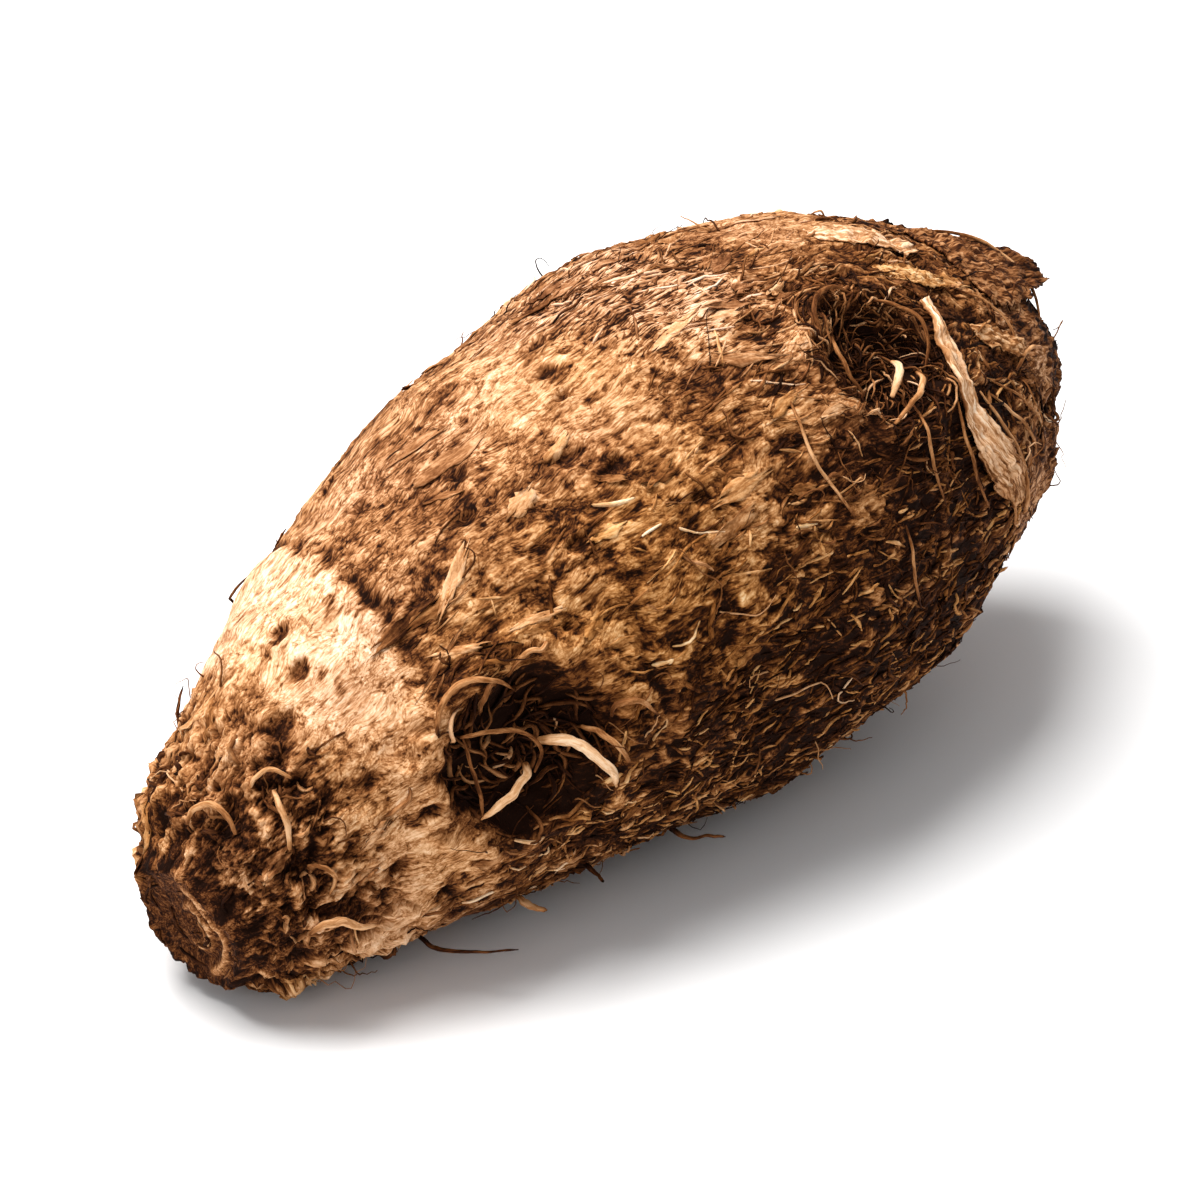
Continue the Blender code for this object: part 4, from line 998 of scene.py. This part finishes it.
# wiry strands that lie on the bark: stops (x, angle, height), radius, tone
WIRES = [
    ([(-49.2, 57, 0.6), (-48.2, 57, 1.6), (-45.6, 60, 2.2), (-43.0, 65, 2.4), (-41.2, 71, 2.4), (-41.0, 76, 2.4), (-43.0, 80, 2.4)], 0.42, 0.40),
    ([(-52.0, 83, 0.8), (-51.4, 78, 1.6), (-50.6, 71, 1.8), (-49.9, 64, 1.6), (-49.0, 57, 0.8)], 0.34, 0.34),
    ([(-34.6, 77, 0.8), (-33.2, 79, 2.0), (-32.4, 83, 2.6), (-32.4, 88, 1.8)], 0.55, 0.52),
    ([(-31.6, 77, 0.4), (-30.6, 74, 1.4), (-28.4, 76, 1.6), (-26.1, 83, 0.5)], 0.42, 0.44),
    ([(-40.5, 52, 0.3), (-37.5, 50, 1.2), (-35.5, 52, 1.0), (-33.6, 50, 0.2)], 0.45, 0.52),
    ([(30.6, 42, 0.6), (29.6, 44, 1.9), (27.7, 46.5, 2.2), (25.2, 49.5, 1.0)], 0.62, 0.80),
    ([(33.4, 47, 0.5), (32.4, 50, 1.6), (29.2, 52.5, 2.0), (25.2, 53.5, 1.6), (22.0, 54, 0.4)], 0.46, 0.58),
    ([(33.6, 27, 0.4), (36.4, 31, 1.6), (38.2, 37, 1.9), (37.4, 43, 1.4), (35.2, 47, 0.5)], 0.40, 0.36),
    ([(20.2, 33, 0.3), (20.8, 27, 1.2), (23.5, 23.5, 1.5), (28.0, 22, 1.1), (31.0, 24, 0.4)], 0.42, 0.34),
    ([(20.8, 46, 0.3), (19.4, 41, 1.2), (20.0, 35, 1.4), (22.4, 31, 0.6)], 0.40, 0.44),
    ([(9.8, 39, 0.2), (9.0, 43, 0.9), (8.1, 49, 1.0), (8.0, 54, 0.9), (9.0, 61, 0.7), (10.2, 67, 0.1)], 0.28, 0.56),
    ([(18.4, 74, 0.2), (17.9, 79, 0.9), (17.8, 86, 0.8), (20.0, 95, 0.2)], 0.26, 0.40),
    ([(-78.4, 0, 0.3), (-76.6, 4, 1.4), (-75.2, 12, 1.7), (-75.2, 20, 1.4), (-76.2, 27, 0.4)], 0.50, 0.52),
    ([(-71.0, 20, 0.3), (-69.4, 20.5, 1.2), (-67.4, 23, 1.4), (-66.6, 30, 0.4)], 0.45, 0.62),
    ([(-69.2, 28, 0.2), (-70.0, 34, 1.0), (-70.9, 41, 1.0), (-72.6, 49, 0.3)], 0.48, 0.66),
    ([(-72.0, 60, 0.2), (-70.4, 64, 1.0), (-70.0, 71, 1.1), (-71.6, 77, 0.3)], 0.44, 0.50),
    ([(62.0, -6, 0.4), (67.0, -4, 2.0), (71.0, 2, 3.0), (73.8, 12, 3.3), (74.8, 26, 3.0), (74.4, 40, 2.2), (72.6, 54, 0.8)], 0.38, 0.52),
    ([(55.0, 60, 0.4), (58.4, 57, 1.4), (63.0, 58, 1.6), (68.0, 62, 0.6)], 0.38, 0.50),
    ([(49.0, 98, 0.3), (47.0, 92, 1.2), (46.0, 84, 1.5), (47.4, 77, 0.6)], 0.36, 0.48),
    ([(44.6, 60, 0.3), (47.4, 67, 1.0), (50.8, 76, 1.2), (54.0, 88, 0.4)], 0.32, 0.56),
    ([(42.4, 58, 0.3), (43.6, 68, 1.0), (46.6, 80, 1.1), (49.6, 94, 0.3)], 0.34, 0.60),
    ([(47.0, 58, 0.3), (51.0, 65, 1.0), (55.0, 74, 1.1), (59.0, 84, 0.3)], 0.28, 0.50),
    ([(40.4, 66, 0.3), (40.6, 76, 0.9), (42.6, 88, 1.0), (46.0, 102, 0.3)], 0.30, 0.50),
    ([(52.0, 30, 0.3), (55.6, 38, 1.2), (57.6, 48, 1.4), (57.0, 60, 0.4)], 0.28, 0.46),
    ([(28.6, 52, 0.3), (26.4, 58, 1.1), (25.8, 66, 1.2), (27.6, 76, 0.3)], 0.26, 0.44),
    ([(36.4, 56, 0.3), (34.4, 64, 1.1), (34.6, 74, 1.2), (37.4, 84, 0.3)], 0.26, 0.42),
]


def make_rootlets(mat):
    for k, (name, (stops, rad, tone, pale)) in enumerate(ROOTLETS.items()):
        pts = spline([on_skin(*q) for q in stops], 12 * len(stops))
        n = len(pts)
        t = np.linspace(0.0, 1.0, n)
        rng = np.random.default_rng(400 + k)
        wob = np.stack([noise(np.stack([t * 6.0 + 9.0 * c, 0 * t + k, 0 * t], -1), 410 + c) for c in range(3)], -1)
        pts = pts + wob * 0.22 * np.sin(PI * t)[:, None]
        crescent = 1.0 if "eye" in name or "neck" in name or name.endswith("_2") else 0.0
        r = rad * ((1.0 - 0.55 * t) * (1.0 - crescent) + crescent * (0.35 + 0.65 * np.sin(PI * (0.12 + 0.82 * t))))
        r = r * (1.0 + 0.10 * np.sin(9.0 * t + k))
        r = r * (0.45 + 0.55 * sstep(1.0 - t, 0.0, 0.08))
        V, faces, flow = tube(pts, r, 10, 0.8, k, 0.22)
        tt = np.concatenate([np.repeat(t, 10), [0.0, 1.0]])
        tn = tone - 0.30 * np.exp(-(tt / 0.16) ** 2) - 0.22 * sstep(tt, 0.86, 1.0)
        pile = Pile()
        pile.add(V, faces, tone=tn, hue=np.full(len(V), 0.45), flow=flow)
        ob = pile.build(name + "_dry", mat)
        finish_piece(ob, [name])


def make_wires(mat):
    """The wiry strands that loop over the bark, in the eyes and on the neck."""
    pile = Pile()
    for k, (stops, rad, tone) in enumerate(WIRES):
        pts = spline([on_skin(*q) for q in stops], 9 * len(stops))
        t = np.linspace(0.0, 1.0, len(pts))
        wob = np.stack([noise(np.stack([t * 5.0 + 9.0 * c, 0 * t + k, 0 * t], -1), 430 + c) for c in range(3)], -1)
        pts = pts + wob * 0.25 * np.sin(PI * t)[:, None]
        r = rad * (0.40 + 0.60 * np.sin(PI * (0.06 + 0.88 * t)) ** 0.8)
        V, faces, flow = tube(pts, r, 8, 0.75, 40 + k, 0.25)
        tt = np.concatenate([np.repeat(t, 8), [0.0, 1.0]])
        pile.add(V, faces, tone=tone + 0.08 * np.sin(7.0 * tt + k) - 0.22 * np.abs(2.0 * tt - 1.0) ** 4, hue=np.full(len(V), 0.45), flow=flow)
    ob = pile.build("wiry_strands", mat)
    finish_piece(ob, ["corm"])


def sheet_solid(top, nrm, thick):
    """Closed thin body whose upper face is the grid top (u, v, 3)."""
    u, v = top.shape[:2]
    bot = top - nrm * np.asarray(thick)[..., None]
    V = np.concatenate([top.reshape(-1, 3), bot.reshape(-1, 3)])
    i = np.arange(u - 1)[:, None] * v
    j = np.arange(v - 1)[None, :]
    q = np.stack([i + j, i + v + j, i + v + j + 1, i + j + 1], -1).reshape(-1, 4)
    n = u * v
    a = np.arange(u - 1) * v
    b = np.arange(v - 1)
    sides = [np.stack([a + v, a, a + n, a + v + n], -1),
             np.stack([a + v - 1, a + 2 * v - 1, a + 2 * v - 1 + n, a + v - 1 + n], -1),
             np.stack([b, b + 1, b + 1 + n, b + n], -1),
             np.stack([(u - 1) * v + b + 1, (u - 1) * v + b, (u - 1) * v + b + n, (u - 1) * v + b + 1 + n], -1)]
    return V, [np.concatenate([q, q[:, ::-1] + n] + sides)]


def flap(s_mid, a_mid, half, lift, u, v, seed, around=False, ribs=0.12, edge=0.22, curl=0.0, thick=0.35):
    """A dry papery strip on the bark.

    s_mid, a_mid and half are functions of q (0 to 1 along the strip): its middle
    line and its half width in mm; lift(q, w) is its height over the bark.
    """
    q = np.linspace(0.0, 1.0, u)[:, None]
    w = np.linspace(-1.0, 1.0, v)[None, :]
    Q, Wd = q + 0.0 * w, w + 0.0 * q
    rag = np.stack([Q * 9.0, np.sign(Wd) * 3.0, 0.0 * Q + seed], -1)
    hw = half(Q) * (1.0 + edge * np.abs(Wd) * fbm(rag, 3, 500 + seed))
    S, A = s_mid(Q), a_mid(Q)
    r = np.maximum(np.interp(S, M_S, M_R), 3.0)
    if around:
        S = S + hw * Wd
    else:
        A = A + hw * Wd / r
        tip = sstep(Q, 0.8, 1.0)
        S = S + tip * 1.6 * fbm(np.stack([Wd * 3.5, 0.0 * Wd, 0.0 * Wd + seed], -1), 2, 520 + seed)
    S = np.clip(S, 0.5, M_LEN - 0.2)
    P, N, g = skin(S.ravel(), A.ravel())
    P, N = P.reshape(u, v, 3), N.reshape(u, v, 3)
    rib = noise(np.stack([Q * 2.0, Wd * np.maximum(half(Q), 1.0) * 1.3, 0.0 * Q + seed], -1), 540 + seed)
    fine = noise(np.stack([Q * 5.0, Wd * np.maximum(half(Q), 1.0) * 3.1, 0.0 * Q + seed], -1), 541 + seed)
    h = lift(Q, Wd) + ribs * rib + 0.5 * ribs * fine + curl * np.abs(Wd) ** 3
    # the sheet's upper face: the bark under it, raised by the lift and the ribs
    base = P + N * h[..., None]
    V, faces = sheet_solid(base, N, np.full((u, v), thick) * (1.0 - 0.6 * np.abs(Wd) ** 4))
    flow = np.stack([Q * 26.0, Wd * half(Q), 0.0 * Q], -1) + seed * 31.0
    flow = np.concatenate([flow.reshape(-1, 3)] * 2)
    shade = (rib * 0.5 + fine * 0.5).ravel()
    # the under face of each sheet is 0.4 darker than its top: painted shade
    return V, faces, flow, np.concatenate([shade, shade - 0.4]), np.concatenate([Q.ravel()] * 2), np.concatenate([Wd.ravel()] * 2)


def make_sheaths(mat):
    # the strap that the front leaf base left along its ring
    V, faces, flow, sh, q, w = flap(
        lambda Q: s_at(43.5 - 5.5 * np.sin(PI * np.minimum(Q * 1.1, 1.0))), lambda Q: np.radians(32.0 + 55.0 * Q),
        lambda Q: (1.35 + 3.4 * sstep(Q, 0.3, 1.0)) * (1.0 - 0.6 * sstep(Q, 0.88, 1.0)), lambda Q, W: 0.95 + 0.55 * np.sin(PI * Q) - 0.5 * np.abs(W) ** 2,
        90, 22, 1, True, 0.28, 0.30, 0.25, 0.5)
    pile = Pile()
    pile.add(V, faces, tone=0.77 + 0.24 * sh - 0.27 * sstep(q, 0.5, 1.0) - 0.16 * np.abs(w) ** 4,
             hue=np.full(len(V), 0.30), flow=flow)
    ob = pile.build("leaf_sheath_front_dry", mat)
    finish_piece(ob, ["leaf_sheath_front"])
    V, faces, flow, sh, q, w = flap(
        lambda Q: s_at(49.0 - 4.0 * np.sin(PI * Q)), lambda Q: np.radians(-37.0 - 64.0 * Q),
        lambda Q: 1.4 + 3.0 * np.sin(PI * np.minimum(Q * 1.2, 1.0)), lambda Q, W: 0.95 + 0.5 * np.sin(PI * Q) - 0.4 * np.abs(W) ** 2,
        90, 22, 2, True, 0.28, 0.30, 0.25, 0.5)
    pile = Pile()
    pile.add(V, faces, tone=0.50 + 0.16 * sh - 0.18 * np.abs(w) ** 4, hue=np.full(len(V), 0.30), flow=flow)
    ob = pile.build("leaf_sheath_back_dry", mat)
    finish_piece(ob, ["leaf_sheath_back"])
    V, faces, flow, sh, q, w = flap(
        lambda Q: s_at(58.0 + 21.0 * Q), lambda Q: np.radians(16.0 + 4.0 * Q),
        lambda Q: 11.0 - 9.2 * Q ** 1.4, lambda Q, W: 0.9 + 4.4 * Q * Q - 0.5 * np.abs(W) ** 2,
        60, 40, 3, False, 0.30, 0.22, 0.5, 0.4)
    pile = Pile()
    pile.add(V, faces, tone=0.36 + 0.24 * sh - 0.12 * sstep(q, 0.3, 0.9), hue=np.full(len(V), 0.25), flow=flow)
    ob = pile.build("leaf_sheath_tip_dry", mat)
    finish_piece(ob, ["leaf_sheath_tip"])


def make_crown(mat):
    """The dry bases of the last leaves, laid over each other round the leafy end."""
    rng = np.random.default_rng(77)
    pile = Pile()
    seed = 10
    for x0, count, reach, wide in ((47.0, 9, 19.0, 9.5), (57.0, 8, 17.0, 8.5), (66.0, 7, 14.0, 7.0), (73.0, 5, 9.0, 5.5)):
        for k in range(count):
            a0 = 360.0 * (k + 0.5 * rng.random()) / count + x0 * 7.0
            if x0 < 50.0 and abs(((a0 - 40.0 + 180.0) % 360.0) - 180.0) < 40.0:
                continue                       # bare round the second eye
            xs, ln = x0 + rng.uniform(-2.5, 2.5), reach * rng.uniform(0.75, 1.15)
            wd = wide * rng.uniform(0.75, 1.2)
            end = rng.uniform(0.15, 0.5)
            lift = rng.uniform(0.4, 1.7)
            lean = rng.uniform(-12.0, 12.0)
            seed += 1
            V, faces, flow, sh, q, w = flap(
                lambda Q: np.minimum(s_at(xs) + ln * Q, M_LEN - 1.0), lambda Q: np.radians(a0 + lean * Q),
                lambda Q: wd * (0.55 + 0.45 * np.sin(PI * np.minimum(Q * 0.9 + 0.1, 1.0))) * (1.0 - (1.0 - end) * Q ** 2.5),
                lambda Q, W: 0.15 + lift * Q ** 1.5 - 0.25 * np.abs(W) ** 2, 34, 30, seed, False, 0.34, 0.50, 0.25, 0.22)
            tone = rng.uniform(0.20, 0.44)
            stain = 0.30 * noise(np.stack([q * 3.0, w * 1.5, 0.0 * q + seed], -1), 560)
            pile.add(V, faces, tone=tone + 0.34 * sh + stain - 0.10 * sstep(q, 0.6, 1.0) - 0.14 * np.abs(w) ** 3, hue=np.full(len(V), rng.uniform(0.1, 0.5)), flow=flow)
    for x0, x1, a0, a1, wd, lift, tone, hue in ((40.5, 50.0, 20.0, 29.0, 1.9, 0.9, 0.62, 0.85), (38.0, 52.0, 2.0, 14.0, 2.6, 0.6, 0.74, 0.25),
                                                (50.5, 60.0, 44.0, 58.0, 2.2, 1.0, 0.56, 0.45)):
        seed += 1
        V, faces, flow, sh, q, w = flap(
            lambda Q: s_at(x0) + (s_at(x1) - s_at(x0)) * Q, lambda Q: np.radians(a0 + (a1 - a0) * Q),
            lambda Q: wd * (0.45 + 0.55 * np.sin(PI * np.minimum(Q * 0.9 + 0.08, 1.0))),
            lambda Q, W: 0.25 + lift * Q ** 1.5 - 0.25 * np.abs(W) ** 2, 40, 16, seed, False, 0.22, 0.55, 0.25, 0.25)
        pile.add(V, faces, tone=tone + 0.26 * sh - 0.12 * np.abs(w) ** 3, hue=np.full(len(V), hue), flow=flow)
    ob = pile.build("crown_leaf_bases", mat)
    finish_piece(ob, ["corm"])


mat_bark = bark_material("bark_skin", 0.12, 0.20, 0.17, 0.26, 0.5)
mat_fibre = bark_material("bark_fibre", 0.14, 0.08, 0.0, 0.18, 0.3, (0.65, 0.92), 0.0, 0.05)
mat_hair = bark_material("root_hair", 0.10, 0.03, 0.0, 0.08, 0.1, (0.5, 0.7))
mat_root = bark_material("dry_rootlet", 0.16, 0.06, 0.0, 0.10, 0.3, (0.5, 0.8))
mat_sheath = bark_material("dry_leaf_sheath", 0.34, 0.12, 0.10, 0.09, 0.5, (0.55, 0.9))
make_bark(mat_bark)
make_fibres(mat_fibre)
make_hairs(mat_hair)
make_worms(mat_root)
make_flakes(mat_fibre)
make_rootlets(mat_root)
make_wires(mat_root)
make_sheaths(mat_sheath)
make_crown(mat_sheath)


# ==================================================================== stage
def make_stage():
    me = bpy.data.meshes.new("floor")
    k = 6.0
    me.from_pydata([(-k, -k, 0), (k, -k, 0), (k, k, 0), (-k, k, 0)], [], [(0, 1, 2, 3)])
    m, nt, bsdf = new_material("floor_white")
    bsdf.inputs["Base Color"].default_value = (0.86, 0.86, 0.87, 1.0)
    bsdf.inputs["Roughness"].default_value = 0.6
    me.materials.append(m)
    ob = bpy.data.objects.new("floor", me)
    bpy.context.scene.collection.objects.link(ob)


def area_light(name, pos, target, size, power, colour=(1.0, 1.0, 1.0)):
    li = bpy.data.lights.new(name, "AREA")
    li.shape = "RECTANGLE"
    li.size, li.size_y = size
    li.energy = power
    li.color = colour
    ob = bpy.data.objects.new(name, li)
    ob.location = pos
    ob.rotation_euler = (Vector(target) - Vector(pos)).to_track_quat("-Z", "Y").to_euler()
    bpy.context.scene.collection.objects.link(ob)


AZ, EL = math.radians(-45.0), math.radians(30.0)
BACK = Vector((math.sin(AZ) * math.cos(EL), -math.cos(AZ) * math.cos(EL), math.sin(EL)))
RIGHT = Vector((math.cos(AZ), math.sin(AZ), 0.0))
UP = BACK.cross(RIGHT)


def make_camera():
    cam = bpy.data.cameras.new("camera")
    ob = bpy.data.objects.new("camera", cam)
    bpy.context.scene.collection.objects.link(ob)
    target = Vector((0.001 * SHIFT[0], 0.001 * SHIFT[1], 0.033)) - RIGHT * 0.0034 - UP * 0.0030
    dist = 0.85
    cam.sensor_width = 36.0
    cam.lens = 7.1 * 850.0 * 36.0 / 1200.0
    cam.clip_start, cam.clip_end = 0.05, 30.0
    cam.dof.use_dof = False
    ob.location = target + BACK * dist
    ob.rotation_mode = "QUATERNION"
    ob.rotation_quaternion = (-BACK).to_track_quat("-Z", "Y")
    bpy.context.scene.camera = ob


def make_world():
    w = bpy.data.worlds.new("studio")
    w.use_nodes = True
    bg = w.node_tree.nodes["Background"]
    bg.inputs["Color"].default_value = (1.0, 1.0, 1.0, 1.0)
    bg.inputs["Strength"].default_value = 0.42
    bpy.context.scene.world = w


make_stage()
make_camera()
make_world()
flat = Vector((BACK.x, BACK.y, 0.0)).normalized()
area_light("key", Vector((0, 0, 0.03)) - RIGHT * 0.30 - flat * 0.12 + Vector((0, 0, 1.00)), (0, 0, 0.03), (0.75, 0.75), 22.5,
           (1.0, 0.99, 0.97))
area_light("front", Vector((0, 0, 0.03)) + flat * 0.95 - RIGHT * 0.55 + Vector((0, 0, 0.45)), (0, 0, 0.03), (0.7, 0.7), 2.8)

sc = bpy.context.scene
sc.view_settings.view_transform = "Standard"
sc.view_settings.look = "None"
